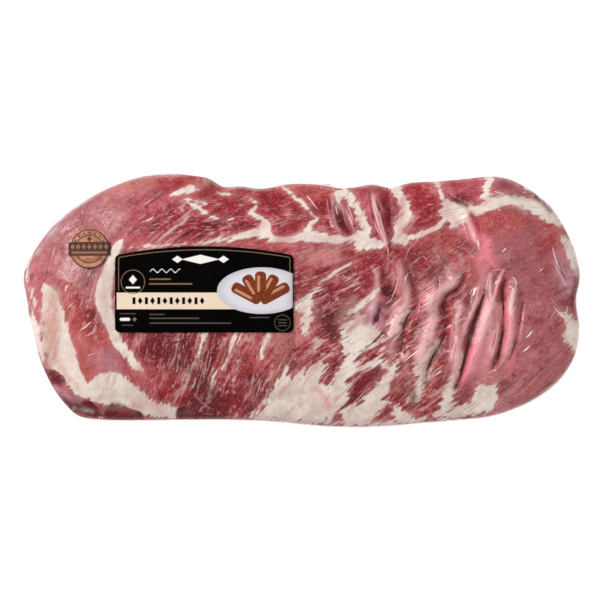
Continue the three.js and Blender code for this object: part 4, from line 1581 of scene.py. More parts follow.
@dataclass(frozen=True)
class MeatFinish:
    """Raw pork: lean with its grain and streaks, marbled with fat that feathers into it."""

    fibre: Weave = Weave(20.0, 2.3, 0.0, 3.0, 0.65)
    strand: Weave = Weave(8.0, 1.25, 3.1, 2.0, 0.5)
    band: Weave = Weave(46.0, 6.0, 5.7, 2.0, 0.5)
    vein: Weave = Weave(30.0, 5.0, 11.3, 2.0, 0.45)
    mottle: Plan = (13.0, 3.0)  # size and finer layers of the large lumps
    grit: Plan = (3.2, 3.0)
    pores: Plan = (1.5, 1.0)
    roughness: float = 0.6  # of the lumps' finer layers
    edge: float = 0.9  # softness of the fat's edge

    def material(self) -> Material:
        """Builds the material.

        Returns:
            It, for a mesh that carries the marbling's values.
        """
        t = Nodes("raw_pork")
        grain, place = t.attribute("grain", "Vector"), t.plan()
        weaves = (self.fibre, self.strand, self.band, self.vein)
        fibre, strand, band, field_of_veins = (weave.noise(t, grain) for weave in weaves)
        sizes = (self.mottle, self.grit, self.pores)
        mottle, grit, pores = (t.lumps(place, *size, self.roughness) - 0.5 for size in sizes)
        streaky = t.attribute("streak")
        colour = self._lean(t, (fibre, strand, band, mottle, grit, pores), field_of_veins, streaky)
        ragged = t.attribute("ragged")
        feather = fibre * (3.0 + streaky * 11.0) + band * streaky * 6.0 + grit * 2.8
        edge = t.attribute("fat") + ragged * feather
        halo = edge.step(-6.0, 0.0)
        colour = t.mix(halo * 0.35, colour, Tint.BLUSH)
        fat = self._fat(t, (fibre, strand, band, mottle, grit), ragged)
        is_fat = edge.step(-self.edge, self.edge)
        colour = t.mix(is_fat, colour, fat)
        dark = t.attribute("dark") + grit * 3.0 + fibre * 2.0
        plum = t.mix((fibre + mottle + grit).step(0.0, 0.3), Tint.GRISTLE, Tint.GARNET)
        colour = t.mix(dark.step(-0.7, 0.7) * 0.96, colour, plum)

        # Folds: painted shade at the bottom of a groove, and a painted highlight along a crest.
        crest = t.attribute("ridge") * (1.1 + fibre * 1.5)
        colour = t.mix(crest, colour, Tint.BLOSSOM)
        colour = t.mix(t.attribute("groove") * 0.4, colour, Tint.PLUM)
        # The strokes: stains, and painted highlights and shade along the folds.
        cover = t.attribute("wash", "Alpha") * (1 + fibre * 1.6 + grit * 1.2)
        colour = t.mix(cover, colour, t.attribute("wash", "Color"))

        lumps = t.lumps(place, 5.5, 3.0, self.roughness)
        normal = t.bump(fibre * 0.7 + strand * 0.4 + grit * 0.4 + lumps * is_fat * 1.6, 0.6 * MM, 0.8)
        rough = 0.5 + mottle * 0.25
        shader = t.principled(
            Base_Color=colour, Roughness=rough, Normal=normal, IOR=1.4, Specular_IOR_Level=0.25
        )
        return t.surface(shader)

    def _lean(self, t: Nodes, noises: Sequence[Value], field_of_veins: Value, streaky: Value) -> Value:
        """The lean's colour.

        Args:
            t: The tree.
            noises: Fibre, strand, band, mottle, grit and pores, around zero.
            field_of_veins: The noise along whose middle the veins of fat run.
            streaky: How strongly the lean is streaked.

        Returns:
            The colour.
        """
        fibre, strand, band, mottle, grit, pores = noises
        tone = band * (0.5 + streaky * 1.2) + fibre * (0.45 + streaky * 1.4) + strand * (0.4 + streaky * 0.6)
        tone = tone + grit * (1.1 - streaky * 0.3) + mottle * 1.3
        lean = t.attribute("tint", "Color")
        lean = t.mix(tone.step(0.03, 0.45) * 0.6, lean, Tint.BLUSH)
        lean = t.mix((-tone).step(0.02, 0.42) * (0.3 + streaky * 0.7), lean, Tint.GRISTLE)
        plain = 1.0 - streaky * 0.7
        lean = t.mix(mottle.step(0.04, 0.26) * plain * 0.4, lean, Tint.LILAC)
        lean = t.mix(mottle.step(-0.04, -0.26) * plain * 0.4, lean, Tint.GARNET)
        lean = t.mix((pores + 0.5).step(0.52, 0.75) * 0.38, lean, Tint.LILAC)
        lean = t.mix((pores + 0.5).step(0.48, 0.25) * 0.4, lean, Tint.PLUM)
        near_middle = 1 - abs(field_of_veins + strand * 0.06) * 13
        veins = near_middle.step(0.0, 0.9) * (band + grit * 0.6).step(-0.03, 0.14)
        return t.mix(veins * streaky.step(0.2, 0.9) * 0.65, lean, Tint.TALLOW)

    def _fat(self, t: Nodes, noises: Sequence[Value], ragged: Value) -> Value:
        """The fat's colour.

        Args:
            t: The tree.
            noises: Fibre, strand, band, mottle and grit, around zero.
            ragged: How ragged the fat is, which also stains it.

        Returns:
            The colour.
        """
        fibre, strand, band, mottle, grit = noises
        fat = t.mix((mottle + grit * 0.5).step(-0.2, 0.2), Tint.TALLOW, Tint.SUET)
        stain = (fibre + band * 0.7).step(0.0, 0.3) * ragged.step(0.2, 2.2)
        fat = t.mix(stain * 0.75, fat, Tint.RIND)
        fat = t.mix((mottle + fibre * 0.4).step(-0.03, -0.3) * 0.45, fat, Tint.SINEW)
        return t.mix((grit + strand * 0.5).step(0.1, 0.4) * 0.4, fat, Tint.RIND)


@dataclass(frozen=True)
class FilmFinish:
    """Clear shrink film: glossy, with a painted milky sheen on the crests, and white where it stands off the
    rim.
    """

    milk: float = 0.8

    def material(self) -> Material:
        """Builds the material.

        Returns:
            It, for a mesh that carries the film's veil.
        """
        t = Nodes("shrink_film")
        x, y, z = t.plan()
        veil = t.attribute("veil")
        along, across = along_puckers(x, y)
        puckers = t.noise(t.vector(along / 9, across / 1.7, z / 4), 1.0, 3.0, 0.6)
        dimples = t.lumps((x, y, z), 6, 2.0)
        normal = t.bump(puckers * 0.8 + dimples * 0.5, 0.9 * MM, 0.6)
        glance = t.add("ShaderNodeFresnel", {}, {"IOR": 1.42})
        clear = t.add("ShaderNodeBsdfTransparent", {}, {"Color": (1, 1, 1, 1)})
        gloss = t.add("ShaderNodeBsdfAnisotropic", {}, {"Roughness": 0.2, "Normal": normal})
        film = t.add("ShaderNodeMixShader", {}, {0: glance.least(0.22), 1: clear, 2: gloss})
        white = t.principled(Base_Color=(0.76, 0.66, 0.66, 1), Roughness=0.3, Normal=normal)
        cloud = (veil * (puckers.step(0.3, 0.62) * 0.4 + 0.6) * self.milk).least(0.9)
        return t.surface(t.add("ShaderNodeMixShader", {}, {0: cloud, 1: film, 2: white}))


@dataclass(frozen=True)
class ThreadFinish:
    """Moist threads of fat, and threads of painted shade and highlight along the folds, each of its own
    colour.
    """

    def material(self) -> Material:
        """Builds the material.

        Returns:
            It, for a mesh that carries the threads' colours.
        """
        t = Nodes("fat_or_painted_fold_thread")
        grit = t.lumps(t.plan(), 1.6, 2.0)
        colour = t.mix(grit.step(0.45, 0.75) * 0.3, t.attribute("tint", "Color"), Tint.RIND)
        normal = t.bump(grit, 0.3 * MM, 0.5)
        shader = t.principled(Base_Color=colour, Roughness=0.45, Normal=normal, Specular_IOR_Level=0.25)
        return t.surface(shader)


@dataclass(frozen=True)
class CreaseGlintFinish:
    """The glint of a sharp crease of the film, a painted highlight: white, and glowing a little."""

    def material(self) -> Material:
        """Builds the material.

        Returns:
            It, for a mesh that carries the creases' colours.
        """
        t = Nodes("painted_crease_glint")
        grit = t.lumps(t.plan(), 2, 2.0)
        colour = t.mix(grit.step(0.4, 0.7) * 0.5, t.attribute("tint", "Color"), Tint.BLOSSOM)
        normal = t.bump(grit, 0.2 * MM, 0.5)
        # The small glow is painted light that keeps the glints bright on their shaded sides.
        sockets = {"Base_Color": colour, "Emission_Color": colour, "Emission_Strength": 0.22}
        return t.surface(t.principled(**sockets, Roughness=0.2, Normal=normal, Alpha=0.75))


@dataclass(frozen=True)
class Print:
    """Flat shapes of colour laid over one another, each from its distance to a point of the plan."""

    nodes: Nodes
    x: Value
    y: Value
    edge: float = 0.28  # softness of a shape's edge

    def box(self, centre: Plan, half: Plan, round_by: float = 0.0) -> Value:
        """Distance to a rectangle.

        Args:
            centre: Its middle.
            half: Half its width and height.
            round_by: Radius of its corners.

        Returns:
            The distance, negative inside.
        """
        qx = abs(self.x - centre[0]) - (half[0] - round_by)
        qy = abs(self.y - centre[1]) - (half[1] - round_by)
        outer = qx.most(0).with_side(qy.most(0))
        return outer + qx.most(qy).least(0) - round_by

    def disc(self, centre: Plan, radius: float, squash: float = 1.0) -> Value:
        """Distance to a disc, or to an oval whose height is its width times squash."""
        dx, dy = self.x - centre[0], self.y - centre[1]
        return dx.with_side(dy / squash) - radius

    def lozenge(self, centre: Plan, half: Plan) -> Value:
        """Distance to a diamond of the given half width and height."""
        reach = abs(self.x - centre[0]) / half[0] + abs(self.y - centre[1]) / half[1]
        return (reach - 1.0) * min(half)

    def turned(self, centre: Plan, degrees: float) -> "Print":
        """The same print in turned axes.

        Args:
            centre: The point that they turn about.
            degrees: By how much.

        Returns:
            The print.
        """
        cosine, sine = heading(degrees)
        dx, dy = self.x - centre[0], self.y - centre[1]
        return Print(self.nodes, dx * cosine + dy * sine, dy * cosine - dx * sine, self.edge)

    def lay(self, colour: Ink, distance: Value, ink: Ink) -> Value:
        """Lays a shape of ink, given by its distance, over a colour."""
        return self.nodes.mix(distance.step(self.edge, -self.edge), colour, ink)


@dataclass(frozen=True)
class LabelFinish:
    """Coated black paper with a gilt keyline, a cream band, an oval plaque and plain marks."""

    centre: Plan
    half: Plan
    arch: float
    corner: float
    keyline: float = 2.8  # how far inside the edge it runs

    def material(self) -> Material:
        """Builds the material.

        Returns:
            The material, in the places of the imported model.
        """
        t = Nodes("label_print")
        x, y, z = t.plan()
        p = Print(t, x - self.centre[0], y - self.centre[1])
        colour = self._ground(p)
        for layer in (self._band, self._plaque, self._marks):
            colour = layer(p, colour)
        speckle = t.noise(t.vector(x, y, z), 2.5, 2.0)
        sheet = t.lumps((x, y, z), 18, 2.0)
        colour = t.mix((speckle - 0.5).step(0.0, 0.4) * 0.006, colour, Tint.PAPER)
        normal = t.bump(speckle * 0.2 + sheet * 2.0, 0.12 * MM, 0.6)
        rough = 0.4 + (sheet - 0.5) * 0.3
        inputs = {"Base_Color": colour, "Roughness": rough, "Normal": normal, "Specular_IOR_Level": 0.03}
        return t.surface(t.principled(**inputs))

    def _ground(self, p: Print) -> Value:
        """Black paper with the keyline along its top and sides.

        Args:
            p: The print.

        Returns:
            The colour.
        """
        r = self.corner
        share = p.x / self.half[0]
        crown = self.half[1] - self.arch * share * share
        qx = abs(p.x) - (self.half[0] - r)
        qy = (-p.y - self.half[1]).most(p.y - crown) + r
        outer = qx.most(0).with_side(qy.most(0))
        inside = outer + qx.most(qy).least(0) - r
        line = abs(inside + self.keyline) - 0.3
        upper = line.most(-1.0 - p.y)
        return p.lay(Tint.INK, upper, Tint.GILT)

    def _band(self, p: Print, colour: Value) -> Value:
        """The cream band with a plain border of bars and lozenges along it.

        Args:
            p: The print.
            colour: What is under it.

        Returns:
            The colour with it.
        """
        colour = p.lay(colour, p.box((-22, -9), (46.4, 6.5)), Tint.CREAM)
        period = 9.7
        local = Print(p.nodes, (p.x + 57.4).wrapped(period) - period / 2, p.y, p.edge)
        row = p.box((-28.3, -9), (29.1, 4))
        bars = local.box((-2.4, -8.9), (1.2, 2.7)).least(local.lozenge((2.4, -8.9), (1.9, 2.9)))
        return p.lay(colour, bars.most(row), Tint.INK)

    def _plaque(self, p: Print, colour: Value) -> Value:
        """An oval plaque with a fan of rounded bars on it.

        Args:
            p: The print.
            colour: What is under it.

        Returns:
            The colour with it.
        """
        t = p.nodes
        oval = p.disc((45, -1), 35, 0.52).most(p.x - (self.half[0] - 0.6))
        shade = t.mix(oval.step(-9, 0) * 0.5, Tint.PORCELAIN, (0.42, 0.42, 0.48, 1))
        colour = p.lay(colour, oval, shade)
        char = t.noise(t.vector(p.x, p.y), 0.9, 4.0, 0.7)
        for k, degrees in enumerate((152, 28, 121, 59, 90)):
            bar = p.turned((44, -9), degrees)
            ink = t.mix(char.step(0.4, 0.6), Tint.CHAR, Tint.RUST)
            length = 12.5 if k < 2 else 11.5
            colour = p.lay(colour, bar.box((length, 0), (length, 4.4), 3.4), ink)
            colour = p.lay(colour, bar.box((length + 2, 1.6), (length - 5, 1.1), 1.0), Tint.TAN)
        return colour

    def _marks(self, p: Print, colour: Value) -> Value:
        """Plain marks in the places of the printed words.

        Args:
            p: The print.
            colour: What is under it.

        Returns:
            The colour with it.
        """
        white, gilt, grey = Tint.PAPER, Tint.GILT, Tint.PEWTER
        colour = p.lay(colour, p.lozenge((-3, 23.5), (15, 3.6)), white)
        for place in (-21, 15):
            colour = p.lay(colour, p.lozenge((place, 23.5), (4.2, 2.8)), white)
        wave = abs(p.y - 14.5 - (p.x * 0.9).sine() * 1.3) - 0.35
        colour = p.lay(colour, wave.most(p.box((-30.6, 14.5), (11.8, 3))), white)
        lines = (
            (-34.5, 8, 8.5, 0.55, gilt), (-26.3, 4.3, 17, 0.55, gilt),
            (-37, -19.6, 6, 0.4, grey), (-23.5, -22.6, 19.5, 0.5, grey), (-11, -26.4, 32, 0.5, grey),
            (43.2, -22, 7.8, 0.4, grey), (-60, -19, 6.5, 0.35, grey), (-60, -28, 4.5, 0.35, grey),
            (-62, -23.4, 4, 1.2, white),
        )
        for middle, height, reach, thick, ink in lines:
            colour = p.lay(colour, p.box((middle, height), (reach, thick), thick * 0.9), ink)
        colour = p.lay(colour, p.lozenge((-54.5, -23.4), (1.8, 1.8)), gilt)
        for centre, radius, ink in (((-55.8, 5.9), 9.2, gilt), ((61.1, -26.1), 6.1, grey)):
            colour = p.lay(colour, abs(p.disc(centre, radius)) - 0.28, ink)
        colour = p.lay(colour, p.lozenge((-55.8, 7.6), (3.2, 3.6)), white)
        colour = p.lay(colour, p.box((-55.8, 1.4), (5.6, 0.7), 0.6), white)
        for height in (-23.8, -26.1, -28.4):
            colour = p.lay(colour, p.box((61.1, height), (3.4, 0.35), 0.3), grey)
        return colour


@dataclass(frozen=True)
class SealFinish:
    """Copper print with dark rings, a dark banner and a bead border."""

    centre: Plan
    radius: float
    banner: Plan  # half its width and height
    bead_ring: float = 12.8

    def material(self) -> Material:
        """Builds the material.

        Returns:
            The material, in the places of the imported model.
        """
        t = Nodes("seal_print")
        x, y, z = t.plan()
        p = Print(t, x - self.centre[0], y - self.centre[1])
        sheen = t.lumps((x, y, z), 6, 3.0)
        speckle = t.noise(t.vector(x, y, z), 2.4, 2.0)
        colour = t.mix(sheen.step(0.3, 0.7), Tint.COPPER, Tint.TAN)
        for radius in (self.radius - 0.5, self.radius - 4.6):
            colour = p.lay(colour, abs(p.disc((0, 0), radius)) - 0.4, Tint.UMBER)
        for k in range(7):
            cosine, sine = heading(30 + 20 * k)
            bead = (self.bead_ring * cosine, self.bead_ring * sine)
            colour = p.lay(colour, p.disc(bead, 0.8), Tint.UMBER)
        colour = p.lay(colour, p.lozenge((0, 7.8), (1.8, 2.4)), Tint.UMBER)
        width, height = self.banner
        colour = p.lay(colour, p.box((0, 0), (width, height)), Tint.UMBER)
        period = 4.4
        local = Print(t, (p.x + period / 2).wrapped(period) - period / 2, p.y, p.edge)
        row = p.box((0, 0), (width - 1.5, height))
        colour = p.lay(colour, local.lozenge((0, 1.7), (1.7, 2.3)).most(row), Tint.COPPER)
        colour = p.lay(colour, p.box((0, -2.9), (width - 2.5, 0.9)), Tint.COPPER)
        colour = t.mix(speckle.step(0.45, 0.8) * 0.35, colour, Tint.UMBER)
        normal = t.bump(speckle, 0.1 * MM, 0.5)
        rough = 0.5 + (sheen - 0.5) * 0.3
        inputs = {"Base_Color": colour, "Roughness": rough, "Normal": normal, "Specular_IOR_Level": 0.15}
        return t.surface(t.principled(**inputs))


@dataclass(frozen=True)
class FloorFinish:
    """A plain white sweep that glows a little, so that no hard shadow is left on it."""

    glow: float = 0.6

    def material(self) -> Material:
        """Builds the material.

        Returns:
            It, for a flat floor.
        """
        t = Nodes("sweep")
        glow = {"Emission_Color": (1, 1, 1, 1), "Emission_Strength": self.glow}
        return t.surface(t.principled(Base_Color=(0.9, 0.9, 0.9, 1), Roughness=0.9, **glow))


# --- Pieces ---


def make_piece(name: str, points: Array, faces: Faces, finish: Any) -> Object:
    """Makes a mesh object.

    Args:
        name: Its name.
        points: Its points in millimetres, one a row.
        faces: Its faces.
        finish: The finish whose material it takes.

    Returns:
        The object, linked to the scene.
    """
    mesh = bpy.data.meshes.new(name)
    mesh.from_pydata((points * MM).tolist(), [], faces)
    mesh.shade_smooth()
    mesh.materials.append(finish.material())
    piece = bpy.data.objects.new(name, mesh)
    bpy.context.scene.collection.objects.link(piece)
    return piece


def store(piece: Object, **layers: Array) -> None:
    """Stores values on a mesh's points for its finish.

    Args:
        piece: The mesh object.
        layers: By name, a number, a vector of three or a colour of four for each point.
    """
    kinds = {1: ("FLOAT", "value"), 3: ("FLOAT_VECTOR", "vector"), 4: ("FLOAT_COLOR", "color")}
    for name, values in layers.items():
        kind, slot = kinds[1 if values.ndim == 1 else values.shape[1]]
        attribute = piece.data.attributes.new(name, kind, "POINT")
        attribute.data.foreach_set(slot, np.ascontiguousarray(values, np.float32).ravel())


def point_normals(points: Array, faces: Faces) -> Array:
    """Unit normals at a mesh's points.

    Args:
        points: Its points, one a row.
        faces: Its faces.

    Returns:
        The normals, one a row.
    """
    normals = np.zeros_like(points)
    for sides in (3, 4):
        chosen = np.array([face for face in faces if len(face) == sides])
        if not len(chosen):
            continue
        corner = points[chosen]
        cross = np.cross(corner[:, 2] - corner[:, 0], corner[:, -1] - corner[:, 1])
        for k in range(sides):
            np.add.at(normals, chosen[:, k], cross)
    return normals / np.maximum(np.linalg.norm(normals, axis=1, keepdims=True), 1e-9)


@dataclass
class RibRack:
    """The meat, its bones and the film drawn tight round it."""

    form: RackForm
    marbling: Marbling
    meat_cells: Cells = (430, 195, 110, 44, 8)
    film_cells: Cells = (330, 150, 168, 52, 10)
    film_gap: float = 0.55  # from the film down to the meat
    rim_gap: float = 1.0  # the same round the side
    lowest: float = 0.15  # height over the ground that the meat keeps
    grain_relief: float = 0.13
    grain_lump: Plan = (12.0, 2.4)  # along and across the grain
    fat_relief: float = 0.18
    pucker: float = 0.12  # height of the film's fine puckers
    pucker_size: Plan = (11.0, 3.0)
    veil_patch: float = 16.0
    dark_above: float = 9.0  # height from which the side shows dark bits
    membrane: float = 0.5  # how much of the bone side's colours a pink membrane hides
    under_streaks: float = 0.6  # of the meat between the bones
    bone_ragged: float = 0.7  # how far a bone's edge wanders
    off_bone: float = -3.0  # depth given near the rim, where no bone shows
    full_fold: float = 3.2  # height from which a fold's painted shade or highlight is at full strength
    fold_run_out: float = 0.2
    groove_power: int = 13  # how narrow a groove's shade is
    ridge_power: int = 4  # how narrow a crest's painted highlight is

    def build_meat(self) -> Object:
        """The fine meat and bones under the film.

        Returns:
            The piece, dressed.
        """
        shell = self.form.shell(*self.meat_cells)
        normals = point_normals(shell.points, shell.faces)
        plan = shell.plan
        under = shell.rib_share >= 0
        grain = self.marbling.grain
        along, across = (grain.sample(values, plan) for values in (grain.along, grain.across))
        tint, streaks = self.marbling.lean(plan)
        depth, ragged = self.marbling.fat(plan)
        depth, ragged, tint, streaks = self._dress_bones(shell, depth, ragged, tint, streaks)
        lumps = PatchyNoise(Seed.MEAT)(along / self.grain_lump[0], across / self.grain_lump[1])
        relief = self.grain_relief * lumps * (0.4 + 0.6 * streaks)
        relief += self.fat_relief * smoothstep(depth, -1.5, 1.5)
        gap = self.film_gap + (self.rim_gap - self.film_gap) * shell.rim
        settled = np.where(under, 0.0, 1 - shell.rim)
        creases = self.form.crease_height(plan) * settled
        moved = shell.points + normals * (relief * settled - gap)[:, None]
        moved[:, 2] += creases
        moved[:, 2] = np.maximum(moved[:, 2], self.lowest)
        piece = make_piece("rib_meat", moved, shell.faces, MeatFinish())
        grain_place = np.column_stack([along, across, shell.points[:, 2]])
        store(piece, grain=grain_place, tint=tint, streak=streaks, fat=depth, ragged=ragged)
        groove, ridge = self._fold_shares(plan)
        dark = np.minimum(self.marbling.dark(plan), shell.points[:, 2] - self.dark_above)
        wash = self.marbling.wash(plan)
        wash[under] = (*Tint.BLUSH.linear[:3], self.membrane)
        # groove and ridge carry the folds' painted shade and painted highlight.
        store(piece, groove=groove * settled, ridge=ridge * settled, dark=dark, wash=wash)
        return piece

    def build_film(self) -> Object:
        """The clear film over the meat.

        Returns:
            The piece, dressed.
        """
        shell = self.form.shell(*self.film_cells)
        plan = shell.plan
        under = shell.rib_share >= 0
        settled = np.where(under, 0.0, 1 - shell.rim)
        along, across = along_puckers(plan[:, 0], plan[:, 1])
        wrinkles = PatchyNoise(Seed.FILM)(along / self.pucker_size[0], across / self.pucker_size[1])
        puckers = self.pucker * wrinkles
        points = shell.points.copy()
        points[:, 2] += (self.form.crease_height(plan) + puckers) * settled
        piece = make_piece("shrink_film_cover", points, shell.faces, FilmFinish())
        store(piece, veil=self._veil(shell))
        return piece

    def _dress_bones(self, shell: Shell, *values: Array) -> tuple[Array, Array, Array, Array]:
        """Puts the rib bones and the meat between them on the bone side.

        Args:
            shell: The mesh.
            values: Depth in fat, raggedness, lean colour and streaks, from the meat side.

        Returns:
            The same four, with the bone side's own values.
        """
        depth, ragged, tint, streaks = values
        under = shell.rib_share >= 0
        distance = self.form.edge_distance(shell.plan)
        inner = smoothstep(distance, self.form.side_reach, self.form.foot_margin)
        bones = np.where(inner > 0.1, self.marbling.bones(shell) * inner, self.off_bone)
        tint = np.where(under[:, None], np.array(Tint.GARNET.linear), tint)
        streaks = np.where(under, self.under_streaks, streaks)
        ragged = np.where(under, self.bone_ragged, ragged)
        return np.where(under, bones, depth), ragged, tint, streaks

    def _fold_shares(self, plan: Array) -> tuple[Array, Array]:
        """How far points lie down a groove and up a crest, for the folds' painted shade and highlight.

        Args:
            plan: Points, one a row.

        Returns:
            Two shares from 0 to 1.
        """
        groove = np.zeros(len(plan))
        ridge = np.zeros(len(plan))
        for fold in FOLDS + CREASES:
            strength = min(abs(fold.height) / self.full_fold, 1)
            kept, power = (groove, self.groove_power) if fold.height < 0 else (ridge, self.ridge_power)
            np.maximum(kept, fold.section(plan, self.fold_run_out) ** power * strength, out=kept)
        return groove, ridge * (1 - groove)

    def _veil(self, shell: Shell) -> Array:
        """How milky the film is: round the rim, and along the creases' crests, where it is a painted sheen.

        Args:
            shell: The mesh.

        Returns:
            Shares from 0 to 1.
        """
        x, y = shell.plan[:, 0], shell.plan[:, 1]
        patchy = PatchyNoise(Seed.VEIL)(x / self.veil_patch, y / self.veil_patch)
        rim = smoothstep(shell.rim, 0.55, 1.0) * (0.2 + 0.25 * patchy)
        drawn = np.max([veil.cover(shell.plan) for veil in VEILS], axis=0) * (0.85 + 0.4 * patchy)
        clear = 1 - smoothstep(self.marbling.dark(shell.plan), -2.0, 1.0)
        rim, drawn = rim * clear, drawn * clear
        # Along the crests the milk is a painted sheen.
        _, ridge = self._fold_shares(shell.plan)
        return np.clip(np.max([rim, drawn, ridge * 0.2], axis=0), 0, 1)


@dataclass
class Threads:
    """Thin pointed ridges on the meat or the film, joined in one mesh."""

    form: RackForm
    lift: float  # of their foot over the film's height
    raised: float  # their own height in the middle
    stations: int = 7
    taper: float = 0.7  # below 1, the points at their ends are blunter

    def _lines(self, placed: Sequence[Thread]) -> tuple[Array, Array, Array]:
        """What the listed threads are made from.

        Args:
            placed: The threads.

        Returns:
            Evenly spaced points by thread and station, widths, and linear colours.
        """
        centres = np.stack([PlanCurve(part.line).spaced(self.stations - 1) for part in placed])
        widths = np.array([part.width for part in placed])
        return centres, widths, np.array([part.tint.linear for part in placed])

    def build(self, name: str, finish: Any, placed: Sequence[Thread], *scattered: Array) -> Object:
        """Makes the piece.

        Args:
            name: Its name.
            finish: Its finish.
            placed: The listed threads.
            scattered: Plan points by thread and station, widths and linear colours of the others.

        Returns:
            The piece, which carries the colours.
        """
        centres, widths, tints = (np.concatenate(pair) for pair in zip(self._lines(placed), scattered))
        count, stations, _ = centres.shape
        run = np.gradient(centres, axis=1)
        run /= np.maximum(np.linalg.norm(run, axis=2, keepdims=True), 1e-6)
        across = np.stack([-run[..., 1], run[..., 0]], axis=-1)
        swell = np.sin(np.linspace(0, math.pi, stations)) ** self.taper
        half = (widths[:, None] / 2 * swell)[..., None]
        plan = np.stack([centres + across * half, centres, centres - across * half], axis=2)
        flat = plan.reshape(-1, 2)
        height = (self.form.top_height(flat) + self.form.crease_height(flat)).reshape(count, stations, 3)
        height += self.lift
        height[:, :, 1] += self.raised * swell
        ribs = np.concatenate([plan, height[..., None]], axis=3)
        points = np.concatenate([ribs[:, 1:-1].reshape(count, -1, 3), ribs[:, [0, -1], 0]], axis=1)
        faces, smooth = self._faces(count, points.shape[1])
        piece = make_piece(name, points.reshape(-1, 3), faces, finish)
        piece.data.polygons.foreach_set("use_smooth", smooth)
        store(piece, tint=np.repeat(tints, points.shape[1], axis=0))
        return piece

    def _faces(self, count: int, width: int) -> tuple[Faces, list[bool]]:
        """Faces of all threads.

        Args:
            count: How many threads there are.
            width: How many points each has.

        Returns:
            The faces, and whether each is smooth: those underneath aren't.
        """
        inner = self.stations - 2
        start, end = 3 * inner, 3 * inner + 1
        one: Faces = []
        for side in range(3):
            a, b = side, (side + 1) % 3
            one += [(3 * k + a, 3 * k + b, 3 * k + b + 3, 3 * k + a + 3) for k in range(inner - 1)]
            one += [(start, b, a), (start - 3 + a, start - 3 + b, end)]
        smooth = [index < 2 * (inner + 1) for index in range(len(one))]
        faces = [tuple(index + width * k for index in face) for k in range(count) for face in one]
        return faces, smooth * count


@dataclass
class FatAndPaintedFoldThreads(Threads):
    """The threads of fat between the fibres of the lean, and the folds' threads of painted shade and
    highlight.
    """

    marbling: Marbling = field(kw_only=True)
    tries: int = 11000
    reach: Plan = (4.0, 14.0)  # shortest and longest
    width: Plan = (0.3, 0.95)
    patch: float = 11.0  # size of the patches that have more or fewer of them
    from_rim: float = 3.0
    into_fat: float = 3.0  # how deep inside the fat threads of lean still start
    fat_from: float = 0.5  # how deep inside the fat all threads are dark
    dark_share: float = 0.38

    def build_all(self) -> Object:
        """Joins the placed threads and the scattered ones."""
        return self.build("fat_and_painted_fold_threads", ThreadFinish(), THREADS, *self._scattered())

    def _scattered(self) -> tuple[Array, Array, Array]:
        """Threads drawn at random where the lean is streaky, which follow its grain.

        Returns:
            Points by thread and station, widths, and linear colours.
        """
        draw = np.random.default_rng(Seed.FAT_THREADS.value)
        half = np.array([self.form.length, self.form.width]) / 2
        start = draw.uniform(-1, 1, (self.tries, 2)) * half
        _, streaks = self.marbling.lean(start)
        depth, _ = self.marbling.fat(start)
        patchy = PatchyNoise(Seed.THREAD_PATCHES)(start[:, 0] / self.patch, start[:, 1] / self.patch)
        wanted = draw.uniform(0, 1, self.tries) < (streaks - 0.12) * (0.6 + 0.9 * patchy)
        inside = ring_depth(start, self.form.edge) > self.form.side_reach + self.from_rim
        kept = wanted & inside & (depth < self.into_fat)
        start, in_fat = start[kept], depth[kept] > self.fat_from
        count = len(start)
        low, high = self.reach
        step = (low + (high - low) * draw.uniform(0, 1, count) ** 2) / (self.stations - 1)
        centres = [start]
        grain = self.marbling.grain
        for _ in range(self.stations - 1):
            angle = grain.sample(grain.angle, centres[-1])
            centres.append(centres[-1] + step[:, None] * np.column_stack([np.cos(angle), np.sin(angle)]))
        thin, thick = self.width
        widths = thin + (thick - thin) * draw.uniform(0, 1, count) ** 2
        share = draw.uniform(0, 1, count)[:, None] ** 1.8
        pale = between(np.array(Tint.RIND.linear), np.array(Tint.SUET.linear), share)
        deep = between(np.array(Tint.BRICK.linear), np.array(Tint.MAROON.linear), share)
        dark = in_fat | (draw.uniform(0, 1, count) < self.dark_share)
        return np.stack(centres, axis=1), widths, np.where(dark[:, None], deep, pale)


@dataclass
class FilmCreaseGlints(Threads):
    """Glints of the film's sharp creases, painted as white threads, placed and scattered over the folded
    end.
    """

    tries: int = 60
    slant: Plan = (22.0, 40.0)  # degrees
    reach: Plan = (2.5, 6.5)  # shortest and longest
    width: Plan = (0.25, 0.55)
    corners: tuple[Plan, Plan] = ((40.0, -70.0), (205.0, 60.0))  # of the plan box that has them
    patch: float = 15.0  # size of the patches that have them or not
    from_rim: float = 4.0

    def build_all(self) -> Object:
        """Joins the placed crease glints and the scattered ones.

        Returns:
            The piece.
        """
        draw = np.random.default_rng(Seed.FILM_CREASES.value)
        start = draw.uniform(*self.corners, (self.tries, 2))
        wanted = PatchyNoise(Seed.CREASE_PATCHES)(start[:, 0] / self.patch, start[:, 1] / self.patch) > 0.15
        inside = ring_depth(start, self.form.edge) > self.form.side_reach + self.from_rim
        start = start[wanted & inside]
        count = len(start)
        angle = np.radians(draw.uniform(*self.slant, count))
        run = np.column_stack([np.cos(angle), np.sin(angle)]) * draw.uniform(*self.reach, count)[:, None]
        share = np.linspace(0, 1, self.stations)[None, :, None]
        centres = start[:, None] + run[:, None] * share
        widths = draw.uniform(*self.width, count)
        tints = np.repeat([Tint.BLOSSOM.linear], count, axis=0)
        return self.build("painted_crease_glints", CreaseGlintFinish(), GLINTS, centres, widths, tints)


